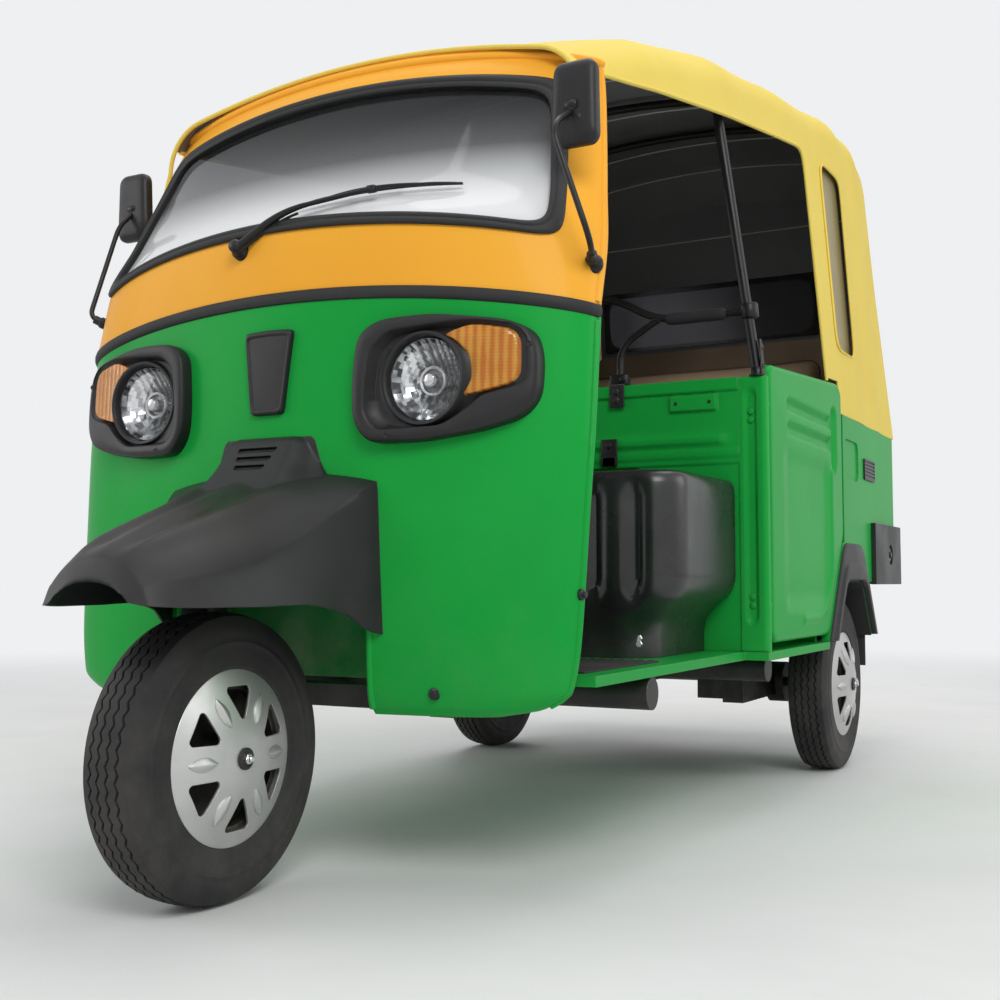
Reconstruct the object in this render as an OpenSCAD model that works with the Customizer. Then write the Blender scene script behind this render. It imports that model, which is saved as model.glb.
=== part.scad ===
// Three-wheeled passenger auto rickshaw with a fabric hood, in millimetres.
// X runs to the vehicle's left, -Y to its front, Z up; setbacks run back from the front axle.

/* [Overall] */
// Distance between the front axle and the rear axle
wheelbase = 2100; // [1900:10:2550]
// Width of the passenger body over its side panels
body_width = 1310; // [1080:5:1600]
// Setback of the bulkhead's front face behind the front axle
bulkhead_setback = 1200; // [1100:5:1450]
// Setback of the rear panel behind the rear axle
rear_panel_setback = 690; // [640:5:830]
// Height of the waist edge of the passenger body
waist_height = 1050; // [1000:5:1110]
// Height of the underside of the floor
floor_underside = 370; // [340:5:400]
// Thickness of the floor
floor_thickness = 20; // [10:1:30]

/* [Wheels] */
// Outer diameter of the tyres
tyre_diameter = 504; // [420:2:520]
// Width of the tyres
tyre_width = 114; // [95:1:126]
// Diameter of the bead seat of the rims
rim_diameter = 254; // [210:1:290]
// Diameter of the wheel covers
cover_diameter = 305; // [255:1:330]
// Distance of each rear tyre's middle in from the side panel's face
rear_wheel_inset = 86; // [76:1:100]

/* [Front end] */
// Half width of the nose at its belt
nose_half_width = 604; // [520:2:640]
// Setback of the nose's front behind the front axle at the belt
nose_setback = 158; // [140:1:190]
// Depth of the nose from its front to its rear edge at the belt
nose_depth = 170; // [150:1:204]
// Height of the nose's lower edge
cowl_bottom = 318; // [300:2:345]
// Height of the belt strip's lower edge at the middle
belt_height = 1082; // [1000:2:1150]
// Height of the belt strip
belt_strip_height = 22; // [16:1:30]
// Height of the windscreen header at the middle
header_height = 1632; // [1500:2:1750]
// Fall of belt, windscreen and header from the middle to the sides
nose_fall = 52; // [30:1:65]
// Thickness of the nose's walls
nose_wall = 10; // [6:1:14]
// Half width of the wheel opening in the nose
well_half_width = 222; // [205:1:260]
// Height of the top of the wheel opening
well_top = 592; // [560:2:660]

/* [Steering] */
// Rake of the steering axis from upright
steer_rake = 20; // [18:1:24]
// Setback of the steering axis at axle height
steer_setback = 75; // [70:1:90]
// Half width of the handlebar
handlebar_half_width = 275; // [230:1:330]
// Height of the handlebar's middle
handlebar_height = 985; // [940:5:1020]

/* [Hood] */
// Height of the hood at its highest point
hood_height = 2107; // [1950:5:2250]
// Half width of the hood at its front shoulders
hood_front_half_width = 520; // [440:2:560]
// Thickness of the hood's covering
hood_wall = 12; // [8:1:16]
// Setback of the rear edge of the side openings before the rear axle
hood_opening_lead = 250; // [200:5:300]

/* [Passenger door] */
// Gap round the door
door_gap = 7; // [6:1:9]
// Thickness of the door
door_thickness = 34; // [28:1:40]
// Height of the door's lower edge above the floor's underside
door_sill_rise = 38; // [30:1:46]
// Rise of the door's top over the waist at its front
door_front_rise = 35; // [20:1:40]
// Rise of the door's top over the waist at its rear
door_rear_rise = 89; // [70:1:98]

/* [Hidden] */
$fn = 64;

// Shared clearances
overrun = 5;
seat_gap = 0.3;
nose_seat_gap = 1.2;
running_gap = 0.4;

// Derived overall sizes
front_overhang = 288;
bumper_depth = 60;
front_axle_y = -(wheelbase + rear_panel_setback + bumper_depth - front_overhang) / 2;
rear_panel_y = wheelbase + rear_panel_setback;
body_half = body_width / 2;
floor_top = floor_underside + floor_thickness;
tyre_radius = tyre_diameter / 2;
axle_height = tyre_radius;
rear_wheel_x = body_half - rear_wheel_inset;

// Nose sections, lower: height, fall, width, front and rear shares
steps_round_nose = 24;
lower_nose_shares = [
    [0.000, 0.00, 0.74, 0.12, 0.56],
    [0.022, 0.02, 0.87, 0.05, 0.62],
    [0.070, 0.05, 0.95, 0.01, 0.66],
    [0.200, 0.15, 0.972, -0.02, 0.70],
    [0.500, 0.50, 0.986, -0.04, 0.80],
    [0.760, 0.76, 0.997, -0.03, 0.90],
    [1.000, 1.00, 1.000, 0.00, 1.00],
];
// Nose sections, upper: height, fall, width, front and rear shares
upper_nose_shares = [
    [0.00, 1.00, 1.000, 0.00, 1.00],
    [0.20, 1.00, 0.994, -0.03, 1.22],
    [0.45, 1.00, 0.966, 0.53, 1.47],
    [0.75, 1.00, 0.925, 1.10, 1.80],
    [0.92, 1.00, 0.896, 1.36, 2.00],
    [1.00, 1.00, 0.880, 1.56, 2.06],
];
belt_top = belt_height + belt_strip_height;
belt_proud = 6;

// Windscreen outline in front view
screen_low_share = 0.225;
screen_high_share = 0.90;
screen_low_half = 556;
screen_high_half = 492;
screen_corner = 55;
steps_along_screen = 12;
gasket_width = 26;
gasket_proud = 5;
gasket_depth = 16;
glass_set_in = 2;
glass_thickness = 6;

// Wheel opening and its liner
well_corner = 60;
well_back = 318;
liner_wall = 6;

// Headlamps, bezels, turn lamps and the blank badge
lamp_x = 332;
lamp_height = 918;
lamp_front = 178;
lamp_radius = 74;
lamp_dome = 16;
lamp_bucket_depth = 60;
lamp_bucket_radius = 66;
lamp_hole_gap = 4;
bezel_proud = 30;
bezel_half = 206;
bezel_rise = 116;
bezel_corner = 22;
bezel_shares = [
    [-0.650, -0.069], [-0.612, 0.741], [-0.408, 0.966], [0.097, 1.000], [0.728, 0.862], [0.951, 0.672],
    [1.000, 0.259], [0.990, -0.379], [0.854, -0.672], [0.485, -0.862], [0.000, -0.983], [-0.505, -0.983],
    [-0.641, -0.638],
];
bowl_shares = [
    [-0.524, -0.086], [-0.485, 0.500], [-0.320, 0.759], [0.097, 0.828], [0.300, 0.850], [0.380, 0.500],
    [0.380, -0.200], [0.408, -0.534], [0.194, -0.759], [-0.408, -0.793], [-0.524, -0.534],
];
bowl_floor = 10;
turn_lamp_shares = [
    [0.350, -0.310], [0.544, -0.250], [0.796, -0.147], [0.874, -0.052], [0.874, 0.569], [0.801, 0.724],
    [0.447, 0.810], [0.194, 0.638],
];
turn_lamp_proud = 24;
turn_lamp_rim = 9;
badge_height = 962;
badge_size = [104, 131];
badge_taper_share = 0.76;
badge_proud = 9;

// Front mudguard: length, half width, lower edge, top and ridge shares
guard_reach = 488;
guard_half = 262;
guard_low = 457;
guard_high = 768;
guard_ridge = 11;
guard_shares = [
    [0.000, 0.321, 0.215, 0.318, 0.00],
    [0.033, 0.450, 0.196, 0.453, 0.18],
    [0.170, 0.580, 0.186, 0.569, 0.64],
    [0.385, 0.695, 0.186, 0.704, 0.91],
    [0.590, 0.775, 0.193, 0.820, 1.00],
    [0.754, 0.840, 0.154, 0.910, 0.82],
    [0.898, 0.939, 0.029, 0.974, 0.45],
    [1.000, 1.000, 0.000, 1.000, 0.18],
];
steps_round_guard = 24;
guard_wall = 6;
guard_power = 0.62;
guard_ridge_waves = 4;
// Neck of the mudguard: height, half width and front shares
neck_low = 700;
neck_high = 826;
neck_half = 196;
neck_front = 36;
neck_rear = 142;
neck_face_share = 0.70;
neck_bevel_share = 0.22;
neck_shares = [
    [0.00, 1.00, 0.00],
    [0.16, 0.88, 0.15],
    [0.36, 0.72, 0.38],
    [0.56, 0.63, 0.58],
    [0.79, 0.58, 0.78],
    [0.94, 0.55, 0.89],
    [1.00, 0.50, 1.00],
];
louvre_height = 9;
louvre_depth = 16;
// Louvres: height share and half-width share of the neck
louvre_shares = [[0.53, 0.17], [0.67, 0.20], [0.81, 0.22]];

// Wiper and mirrors
wiper_pivot = [-74, 130, 1196];
wiper_elbow = [30, 150, 1262];
wiper_blade_middle = [198, 190, 1292];
wiper_blade_ends = [[36, 162, 1276], [362, 232, 1294]];
wiper_boss = [16, 30];
wiper_arm_radius = 5;
wiper_blade_radius = 6;
mirror_rod_radius = 6;
mirror_foot_radius = 20;
left_mirror_foot = [592, 330, 1128];
left_mirror_bend = [622, 250, 1150];
left_mirror_elbow = [560, 222, 1357];
left_mirror_head = [570, 292, 1420];
right_mirror_foot = [-592, 330, 1128];
right_mirror_bend = [-628, 300, 1150];
right_mirror_elbow = [-624, 380, 1378];
right_mirror_head = [-622, 418, 1432];
mirror_paths = [
    [left_mirror_foot, left_mirror_bend, left_mirror_elbow, left_mirror_head],
    [right_mirror_foot, right_mirror_bend, right_mirror_elbow, right_mirror_head],
];
mirror_head = [94, 26, 160];
mirror_head_corner = 26;

// Instrument panel
panel_half = 300;
panel_top = 1128;
panel_height = 62;
panel_rear = 262;
panel_radius = 40;
panel_rise = 26;
panel_gap = 2;

// Floor, mat, sills
cab_half = 596;
mat_thickness = 5;
mat_inset = 40;
rail_x = 270;
rail_size = [52, 70];
rail_front = 340;
rail_rear_gap = 40;
cross_setbacks = [420, 760, 1330];
cross_size = [60, 46];
outrigger_setbacks = [600, 1400];
outrigger_radius = 32;
outrigger_end = 60;
tow_plate = [14, 70, 80];
tow_hole_radius = 14;
tow_height = 320;

// Bulkhead with its posts, beads, rail and bracket
bulkhead_wall = 24;
post_width = 66;
post_depth = 26;
post_groove = [26, 8];
post_groove_shares = [0.10, 0.94];
post_bolt = [7, 3];
post_bolt_shares = [0.16, 0.26, 0.78, 0.88];
bead_shares = [0.28, 0.52, 0.76];
bead_radius = 9;
waist_rail = [34, 7];
bracket_x = 475;
bracket_drop = 56;
bracket_size = [122, 10, 40];
bracket_hole_pitch = 86;
bracket_hole_radius = 3.25;

// Seat box and driver's seat
box_front = 780;
box_half = 580;
box_height = 410;
box_corner = 84;
box_rear_gap = 2;
column_count = 12;
column_depth = 12;
column_power = 0.45;
steps_across_box = 48;
box_lead = 40;
// Seat box sections: height, half width and lead-back shares
box_shares = [
    [0.00, 0.862, 1.00],
    [0.12, 0.868, 0.75],
    [0.22, 0.905, 0.35],
    [0.32, 0.970, 0.08],
    [0.42, 1.000, 0.00],
    [0.93, 1.000, 0.00],
    [0.975, 0.992, 0.10],
    [1.00, 0.975, 0.30],
];
driver_cushion = [520, 390, 100];
driver_cushion_gap = 10;
driver_pad = [520, 48, 230];
driver_pad_low = 1090;
pad_corner = 22;

// Grab rail behind the driver
rail_radius = 10;
rail_pole_z = 1211;
rail_split_x = 376;
rail_upper = [262, 1281];
rail_lower = [276, 1152];
rail_pad_radius = 16;
rail_end_gap = 3;
rail_pad_x = [412, 556];
swell_share = 1.04;

// Passenger seat and its base
seat_base_lead = 300;
seat_base_top = 730;
seat_base_wall = 16;
seat_cushion_depth = 520;
seat_cushion_height = 130;
seat_back_height = 600;
seat_back_thickness = 110;
seat_back_lean = 9;
seat_back_half = 500;
seat_side_gap = 30;

// Side panels, arches, flares and flaps
side_wall = 24;
side_corner = 50;
arch_half_low = 252;
arch_half_high = 128;
arch_low_share = 0.46;
arch_high_share = 0.07;
arch_top = 560;
arch_foot = floor_top + seat_gap;
flare_width = 110;
flare_proud = 16;
side_low = 556;
swage_depth = 5;
swage_width = 22;
swage_drops = [95, 160];
vent_setback = 250;
vent_drop = 140;
vent_size = [150, 66];
vent_slats = 5;
vent_proud = 5;
pocket = [190, 120];
pocket_corner = 30;
pocket_lead = 15;
pocket_drop = 128;
flap_size = [150, 12, 200];

// Rear panel, bumper and tail lamps
rear_low = 556;
rear_louvre_count = 6;
rear_louvre = [420, 12];
rear_louvre_pitch = 30;
rear_louvre_low = 790;
bumper_low = 548;
bumper_height = 196;
bumper_side = 480;
bumper_proud = 15;
bumper_corner = 70;
bumper_knob_radius = 34;
bumper_knob_lead = 240;
tail_lamp = [95, 26, 190];
tail_lamp_low = 800;

// Hood stations: length, crown and shoulder-width shares
hood_front_setback = 432;
hood_front_crown = 1652;
hood_rear_half = 600;
hood_rear_lead = 18;
hood_shares = [
    [0.00, 0.00, 0.00],
    [0.15, 0.34, 0.31],
    [0.328, 0.585, 0.56],
    [0.508, 0.76, 0.74],
    [0.628, 0.86, 0.82],
    [0.777, 0.985, 0.94],
    [0.885, 1.00, 1.00],
    [0.962, 0.935, 1.00],
    [0.988, 0.79, 0.95],
    [1.00, 0.60, 0.86],
];
hood_shoulder_radius = 110;
hood_crown_rise = 46;
hood_shoulder_turn = 78;
hood_shoulder_steps = 6;
hood_roof_steps = 5;
hood_edge_lift = 2;
opening_front_height = 1562;
opening_middle_height = 1700;
opening_rear_height = 1818;
opening_corner = 60;
rear_window = [800, 200];
rear_window_low = 1450;
quarter_window = [225, 580];
quarter_window_lead = 75;
quarter_window_low = 1252;
window_corner = 50;
rear_lean = 95;
rear_lean_power = 6;
film_gap = 3.2;
film_wall = 3;
film_lap = 14;
film_steps = 4;

// Hood frame
bow_radius = 12;
bow_gap = 8;
bow_sides = 10;
bow_shares = [0.55, 0.777];
pole_foot_inset = 22;
pole_socket = [15, 18];

// Engine, silencer and rear arms
engine_size = [400, 540, 300];
engine_low = 250;
engine_lead = 210;
engine_lug = [50, 40];
engine_lug_setbacks = [20, 350];
silencer_radius = 54;
silencer_length = 400;
silencer_x = 400;
silencer_setback = 195;
silencer_height = 330;
silencer_hanger = [8, 36];
silencer_hanger_shares = [0.2, 0.75];
tail_pipe = [16, 60];
arm_pivot_lead = 380;
arm_size = [60, 70];
arm_x = 400;
arm_bracket = [90, 60];
arm_bracket_rise = 40;
stub_radius = 14;
stub_flange = [60, 22];

// Wheels
bead_half = 43;
tread_half = 47;
tread_depth = 38;
tread_corner = 12;
bulge_radius = tyre_radius - tyre_width / 2 - tread_corner;
rim_lip = 12;
rim_wall = 8;
hub_radius = 42;
hub_length = 96;
drum_radius = 92;
drum_depth = 40;
cover_wall = 4;
cover_dome = 28;
cover_radius = cover_diameter / 2;
clip_foot = bead_half + rim_wall / 2 + 2 * seat_gap;
cover_seat = cover_wall + max(clip_foot, seat_gap
    + sqrt(max(0, pow(tyre_width / 2, 2) - pow(cover_radius - bulge_radius, 2))));
cover_clip_radius = rim_diameter / 2 + rim_lip / 2;
cover_window_count = 6;
cover_window = [76, 116];
cover_window_half = 22;
cover_window_corner = 8;
leaf_radius = 42;
leaf_offset = 30;
leaf_ring = 94;
leaf_proud = 2;
cover_hub_radius = 17;
nut_radius = 9;
nut_height = 9;

// Fork, link and handlebar
column_radius = 24;
column_low = 540;
fork_x = -112;
fork_leg_radius = 20;
fork_knee = [150, 548];
fork_pivot = [118, 318];
link_radius = 18;
damper_radius = 26;
damper_x = -152;
axle_end = 46;
bar_radius = 12;
grip_radius = 17;
grip_length = 120;
bar_middle_half = 110;
bar_sweep = 120;
bar_rise = 20;
headstock_radius = 34;
headstock_length = 150;

// Door details
door_rear_lead = 100;
door_rear = wheelbase - door_rear_lead;
door_hinge_gap = 12;
hinge_in = 12;
hinge_eye_radius = 8.5;
hinge_pin_radius = 3;
hinge_pin_reach = 16;
hinge_lug = 10;
hinge_side_gap = 1.5;
hinge_heights = [500, 985];
door_front = bulkhead_setback + post_depth + door_hinge_gap;
hinge_x = body_half - hinge_in;
hinge_y = door_front + hinge_in;
door_corner = 40;
// Door pressings: setback and height shares of the middle, then length and height
press_depth = 5;
door_grooves = [[0.50, 0.872, 430, 22], [0.50, 0.785, 430, 22], [0.855, 0.815, 96, 118], [0.505, 0.405,
    500, 290]];
groove_corner_shares = [0.49, 0.49, 0.2, 0.16];

// Places worked out from the sizes above
lamp_rows = [for (i = [4 : 6]) lower_nose_shares[i]];
pole_setback = bulkhead_setback + bulkhead_wall / 2;
seat_half = body_half - door_thickness - seat_side_gap;
base_front = wheelbase - seat_base_lead;
hood_rear_y = rear_panel_y - hood_rear_lead;
hood_length = hood_rear_y - hood_front_setback;
hood_low = waist_height + hood_edge_lift;
crown_pairs = [for (row = hood_shares) [row[0], row[1]]];
width_pairs = [for (row = hood_shares) [row[0], row[2]]];
rear_lean_angle = atan(rear_lean / (hood_height - hood_low));
bow_inset = hood_wall + bow_gap + bow_radius;
guard_sections = [for (row = guard_shares) [
    row[0] * guard_reach - front_overhang,
    row[1] * guard_half,
    guard_low + row[2] * (guard_high - guard_low),
    guard_low + row[3] * (guard_high - guard_low),
    row[4] * guard_ridge,
]];

// Shifts a piece drawn from the front axle to the middle of the part
module placed() {
    translate([0, front_axle_y, 0]) children();
}

// Both sides of a piece drawn on the left
module both_sides() {
    children();
    mirror([1, 0, 0]) children();
}

// A front-view outline carried from one setback to another
module front_prism(near, far) {
    translate([0, far, 0]) rotate([90, 0, 0]) linear_extrude(far - near) children();
}

// A side-view outline carried between two values of X
module side_prism(low, high) {
    translate([low, 0, 0]) rotate([90, 0, 90]) linear_extrude(high - low) children();
}

// An outline with its corners rounded
module eased(corner) {
    offset(r = corner) offset(delta = -corner) children();
}

// A rectangle about the middle with true round corners
module soft_rect(size, corner) {
    square([size[0] - 2 * corner, size[1]], center = true);
    square([size[0], size[1] - 2 * corner], center = true);
    for (side = [-1, 1]) {
        for (end = [-1, 1]) {
            translate([side * (size[0] / 2 - corner), end * (size[1] / 2 - corner)]) circle(corner);
        }
    }
}

// A box about X and Y standing on its lower face
module plain_box(size) {
    translate([-size[0] / 2, -size[1] / 2, 0]) cube(size);
}

// A round bar from one point to another
module bar_between(from, to, radius) {
    along = to - from;
    reach = norm(along);
    translate(from) rotate([0, acos(along[2] / reach), atan2(along[1], along[0])])
        cylinder(reach, radius, radius);
}

// A bent round bar through a row of points
module bar_path(points, radius) {
    for (i = [0 : len(points) - 2]) {
        bar_between(points[i], points[i + 1], radius);
    }
    for (i = [1 : len(points) - 2]) {
        translate(points[i]) sphere(radius * swell_share);
    }
}

// A closed skin over loops of equal length, ends closed by strips between mirrored points
module skin(loops) {
    count = len(loops[0]);
    last = len(loops) - 1;
    half = floor(count / 2);
    sides = [for (k = [0 : last - 1]) for (i = [0 : count - 1]) let (j = (i + 1) % count)
        each [[k * count + i, (k + 1) * count + i, (k + 1) * count + j],
            [k * count + i, (k + 1) * count + j, k * count + j]]];
    near_end = [for (i = [0 : half - 2]) let (m = count - 1 - i)
        each [[i, i + 1, m - 1], [i, m - 1, m]]];
    far_end = [for (tri = near_end) [for (v = [2, 1, 0]) tri[v] + last * count]];
    polyhedron([for (loop = loops) each loop], concat(sides, near_end, far_end));
}

// One ring round the nose from its right rear edge to its left rear edge
function nose_ring(row, low, high, grow) =
    let (
        top = low + row[0] * (high - low),
        fall = nose_fall * row[1],
        half = nose_half_width * row[2] + grow,
        front = nose_setback + nose_depth * row[3] - grow,
        rear = nose_setback + nose_depth * row[4]
    )
    [for (i = [0 : steps_round_nose - 1])
        let (turn = -90 + 180 * i / (steps_round_nose - 1))
        [half * sin(turn), rear - (rear - front) * cos(turn), top - fall * pow(sin(turn), 2)]];

function turned_round(list) = [for (i = [len(list) - 1 : -1 : 0]) list[i]];

// Wall of the nose between two offsets from its outer face
module nose_sheet(rows, low, high, outside, inside) {
    skin([for (row = rows) concat(nose_ring(row, low, high, outside),
        turned_round(nose_ring(row, low, high, inside)))]);
}

// Solid nose filled to its rear edge and on by the given reach
module nose_fill(rows, low, high, grow, reach) {
    skin([for (row = rows)
        let (ring = nose_ring(row, low, high, grow), end = len(ring) - 1, back = [0, reach, 0])
        concat([ring[0] + back], ring, [ring[end] + back])]);
}

// Front view of the windscreen opening, drawn in by a margin
module screen_outline(margin) {
    low = belt_top + screen_low_share * (header_height - belt_top) + margin;
    high = belt_top + screen_high_share * (header_height - belt_top) - margin;
    low_half = screen_low_half - margin;
    high_half = screen_high_half - margin;
    places = [for (i = [0 : steps_along_screen]) 2 * i / steps_along_screen - 1];
    bottom = [for (s = places) [s * low_half, low - nose_fall * s * s]];
    top = [for (s = places) [-s * high_half, high - nose_fall * s * s]];
    eased(screen_corner - margin) polygon(concat(bottom, top));
}

module screen_prism(margin) {
    front_prism(-front_overhang, nose_setback + nose_depth * 2) screen_outline(margin);
}

// Steering axis: setback at a height
function axis_setback(height) = steer_setback + (height - axle_height) * tan(steer_rake);

module along_steering(height) {
    translate([0, axis_setback(height), height]) rotate([-steer_rake, 0, 0]) children();
}

module chassis_rails() {
    rail_length = rear_panel_y - rail_rear_gap - rail_front;
    color([0.10, 0.10, 0.11]) placed() both_sides() {
        translate([rail_x - rail_size[0] / 2, rail_front, floor_underside - rail_size[1]])
            cube([rail_size[0], rail_length, rail_size[1]]);
    }
}

module crossmembers() {
    inner = rail_x - rail_size[0] / 2;
    outer = rail_x + rail_size[0] / 2;
    rear_cross = rear_panel_y - rail_rear_gap - cross_size[0];
    color([0.12, 0.12, 0.13]) placed() {
        for (setback = cross_setbacks) {
            translate([-inner, setback, floor_underside - rail_size[1]])
                cube([2 * inner, cross_size[0], cross_size[1]]);
        }
        for (setback = outrigger_setbacks) {
            for (side = [-1, 1]) {
                translate([side * outer, setback, floor_underside - outrigger_radius - seat_gap])
                    rotate([0, side * 90, 0])
                        cylinder(body_half - outrigger_end - outer, outrigger_radius, outrigger_radius);
            }
        }
        difference() {
            union() {
                translate([-inner, rear_cross, floor_underside - rail_size[1]])
                    cube([2 * inner, cross_size[0], cross_size[1]]);
                translate([-tow_plate[0] / 2, rear_cross, tow_height - tow_plate[2] / 2])
                    cube([tow_plate[0], cross_size[0] + tow_plate[1], tow_plate[2]]);
            }
            translate([-overrun - tow_plate[0] / 2, rear_cross + cross_size[0] + tow_plate[1] / 2,
                tow_height])
                rotate([0, 90, 0])
                    cylinder(tow_plate[0] + 2 * overrun, tow_hole_radius, tow_hole_radius);
        }
    }
}

module floor_pan() {
    front = well_back + liner_wall + seat_gap;
    rear = wheelbase - seat_base_lead;
    color([0.05, 0.42, 0.17]) placed() {
        translate([-cab_half, front, floor_underside])
            cube([2 * cab_half, bulkhead_setback - front + seat_gap, floor_thickness]);
        translate([-body_half, bulkhead_setback, floor_underside])
            cube([body_width, rear - bulkhead_setback, floor_thickness]);
    }
}

module floor_mat() {
    front = well_back + liner_wall + mat_inset;
    color([0.06, 0.06, 0.06]) placed()
        translate([-cab_half + mat_inset, front, floor_top])
            cube([2 * (cab_half - mat_inset), box_front - mat_inset - front, mat_thickness]);
}

module well_outline(grow) {
    half = well_half_width + grow;
    high = well_top + grow;
    translate([-half, 0]) square([2 * half, high - well_corner]);
    translate([-half + well_corner, 0]) square([2 * (half - well_corner), high]);
    for (side = [-1, 1]) {
        translate([side * (half - well_corner), high - well_corner]) circle(well_corner);
    }
}

module wheel_well() {
    color([0.04, 0.36, 0.15]) placed() difference() {
        union() {
            difference() {
                front_prism(0, well_back + liner_wall) well_outline(liner_wall);
                front_prism(-overrun, well_back) translate([0, -overrun]) well_outline(0);
                translate([-body_half, -overrun, -overrun])
                    cube([body_width, wheelbase, cowl_bottom + overrun + nose_fall]);
            }
            along_steering(well_top) cylinder(headstock_length, headstock_radius, headstock_radius);
        }
        along_steering(well_top - headstock_length)
            cylinder(3 * headstock_length, column_radius + running_gap, column_radius + running_gap);
        difference() {
            translate([-body_half, -front_overhang, 0]) cube([body_width, wheelbase, header_height]);
            nose_fill(lower_nose_shares, cowl_bottom, belt_height, -nose_wall - nose_seat_gap,
                nose_depth * 2);
        }
    }
}

module lamp_places() {
    for (side = [-1, 1]) {
        translate([side * lamp_x, lamp_front, lamp_height]) rotate([90, 0, 0]) children();
    }
}

module front_cowl() {
    color([0.05, 0.45, 0.18]) placed() difference() {
        nose_sheet(lower_nose_shares, cowl_bottom, belt_height, 0, -nose_wall);
        front_prism(-front_overhang, nose_setback + nose_depth) well_outline(0);
        lamp_places() translate([0, 0, -lamp_bucket_depth - nose_depth])
            cylinder(2 * nose_depth, lamp_radius + lamp_hole_gap, lamp_radius + lamp_hole_gap);
    }
}

module belt_moulding() {
    rows = [upper_nose_shares[0], upper_nose_shares[0] + [1, 0, 0, 0, 0]];
    color([0.05, 0.05, 0.05]) placed()
        nose_sheet(rows, belt_height + seat_gap, belt_top - seat_gap, belt_proud, -nose_wall);
}

module windscreen_surround() {
    color([0.94, 0.52, 0.06]) placed() difference() {
        nose_sheet(upper_nose_shares, belt_top, header_height, 0, -nose_wall);
        screen_prism(0);
    }
}

module windscreen_gasket() {
    color([0.04, 0.04, 0.04]) placed() difference() {
        intersection() {
            nose_sheet(upper_nose_shares, belt_top, header_height, gasket_proud, -gasket_depth);
            screen_prism(seat_gap);
        }
        screen_prism(gasket_width);
    }
}

module windscreen() {
    color([0.75, 0.80, 0.82]) placed() intersection() {
        nose_sheet(upper_nose_shares, belt_top, header_height, -glass_set_in,
            -glass_set_in - glass_thickness);
        screen_prism(gasket_width + seat_gap);
    }
}

// One section of the mudguard, from its right edge over the top to its left edge
function guard_path(row, grow) =
    [for (i = [0 : steps_round_guard - 1])
        let (turn = -90 + 180 * i / (steps_round_guard - 1))
        [(row[1] + grow) * sin(turn), row[0],
            row[2] + (row[3] + grow - row[2]) * pow(cos(turn), guard_power)
                + row[4] * sin(guard_ridge_waves * abs(turn)) * cos(turn)]];

// One level section of the mudguard's neck, chamfered at its front corners
function neck_ring(row) =
    let (
        z = neck_low + row[0] * (neck_high - neck_low),
        half = row[1] * neck_half,
        front = neck_front + row[2] * (neck_rear - neck_front),
        back = nose_setback + nose_depth / 2
    )
    [[-half, back, z], [-half, front + neck_bevel_share * half, z], [-half * neck_face_share, front, z],
        [half * neck_face_share, front, z], [half, front + neck_bevel_share * half, z], [half, back, z]];

module front_mudguard() {
    neck_fronts = [for (row = neck_shares) [row[0], row[2]]];
    color([0.05, 0.05, 0.05]) placed() difference() {
        union() {
            skin([for (row = guard_sections) concat(guard_path(row, 0), turned_round(guard_path(row,
                -guard_wall)))]);
            difference() {
                skin([for (row = neck_shares) neck_ring(row)]);
                for (louvre = louvre_shares) {
                    half = louvre[1] * neck_half;
                    front = neck_front + lookup(louvre[0], neck_fronts) * (neck_rear - neck_front);
                    translate([-half, -front_overhang, neck_low + louvre[0] * (neck_high - neck_low)])
                        cube([2 * half, front_overhang + front + louvre_depth, louvre_height]);
                }
            }
        }
        nose_fill(lower_nose_shares, cowl_bottom, belt_height, seat_gap, nose_depth * 2);
    }
}

// A front-view outline about the left lamp from its shares
module bezel_shape(shares, corner) {
    translate([lamp_x, lamp_height]) eased(corner)
        polygon([for (p = shares) [p[0] * bezel_half, p[1] * bezel_rise]]);
}

// Outline of the turn lamp, curved round the headlamp
module turn_lamp_shape() {
    difference() {
        bezel_shape(turn_lamp_shares, bezel_corner / 2);
        translate([lamp_x, lamp_height]) circle(lamp_radius + turn_lamp_rim);
    }
}

module headlamp_bezels() {
    far = nose_setback + nose_depth * 2;
    color([0.05, 0.05, 0.05]) placed() both_sides() difference() {
        intersection() {
            front_prism(-front_overhang, far) bezel_shape(bezel_shares, bezel_corner);
            nose_fill(lamp_rows, cowl_bottom, belt_height, bezel_proud, nose_depth);
        }
        nose_fill(lamp_rows, cowl_bottom, belt_height, nose_seat_gap, nose_depth * 2);
        difference() {
            front_prism(-front_overhang, far) bezel_shape(bowl_shares, bezel_corner);
            nose_fill(lamp_rows, cowl_bottom, belt_height, bowl_floor, nose_depth * 2);
        }
        lamp_places() translate([0, 0, -nose_depth])
            cylinder(2 * nose_depth, lamp_radius + seat_gap, lamp_radius + seat_gap);
        front_prism(-front_overhang, far) turn_lamp_shape();
    }
}

module headlamps() {
    color([0.85, 0.88, 0.90]) placed() lamp_places() {
        translate([0, 0, -lamp_bucket_depth])
            cylinder(lamp_bucket_depth - lamp_dome, lamp_bucket_radius, lamp_radius);
        translate([0, 0, -lamp_dome]) cylinder(lamp_dome, lamp_radius, lamp_radius);
        intersection() {
            cylinder(lamp_dome, lamp_radius, lamp_radius);
            ball = (lamp_radius * lamp_radius + lamp_dome * lamp_dome) / (2 * lamp_dome);
            translate([0, 0, lamp_dome - ball]) sphere(ball);
        }
    }
}

module turn_lamps() {
    color([0.95, 0.45, 0.05]) placed() both_sides() difference() {
        intersection() {
            front_prism(-front_overhang, nose_setback + nose_depth * 2)
                offset(delta = -seat_gap) turn_lamp_shape();
            nose_fill(lamp_rows, cowl_bottom, belt_height, turn_lamp_proud, nose_depth);
        }
        nose_fill(lamp_rows, cowl_bottom, belt_height, nose_seat_gap, nose_depth * 2);
    }
}

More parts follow.
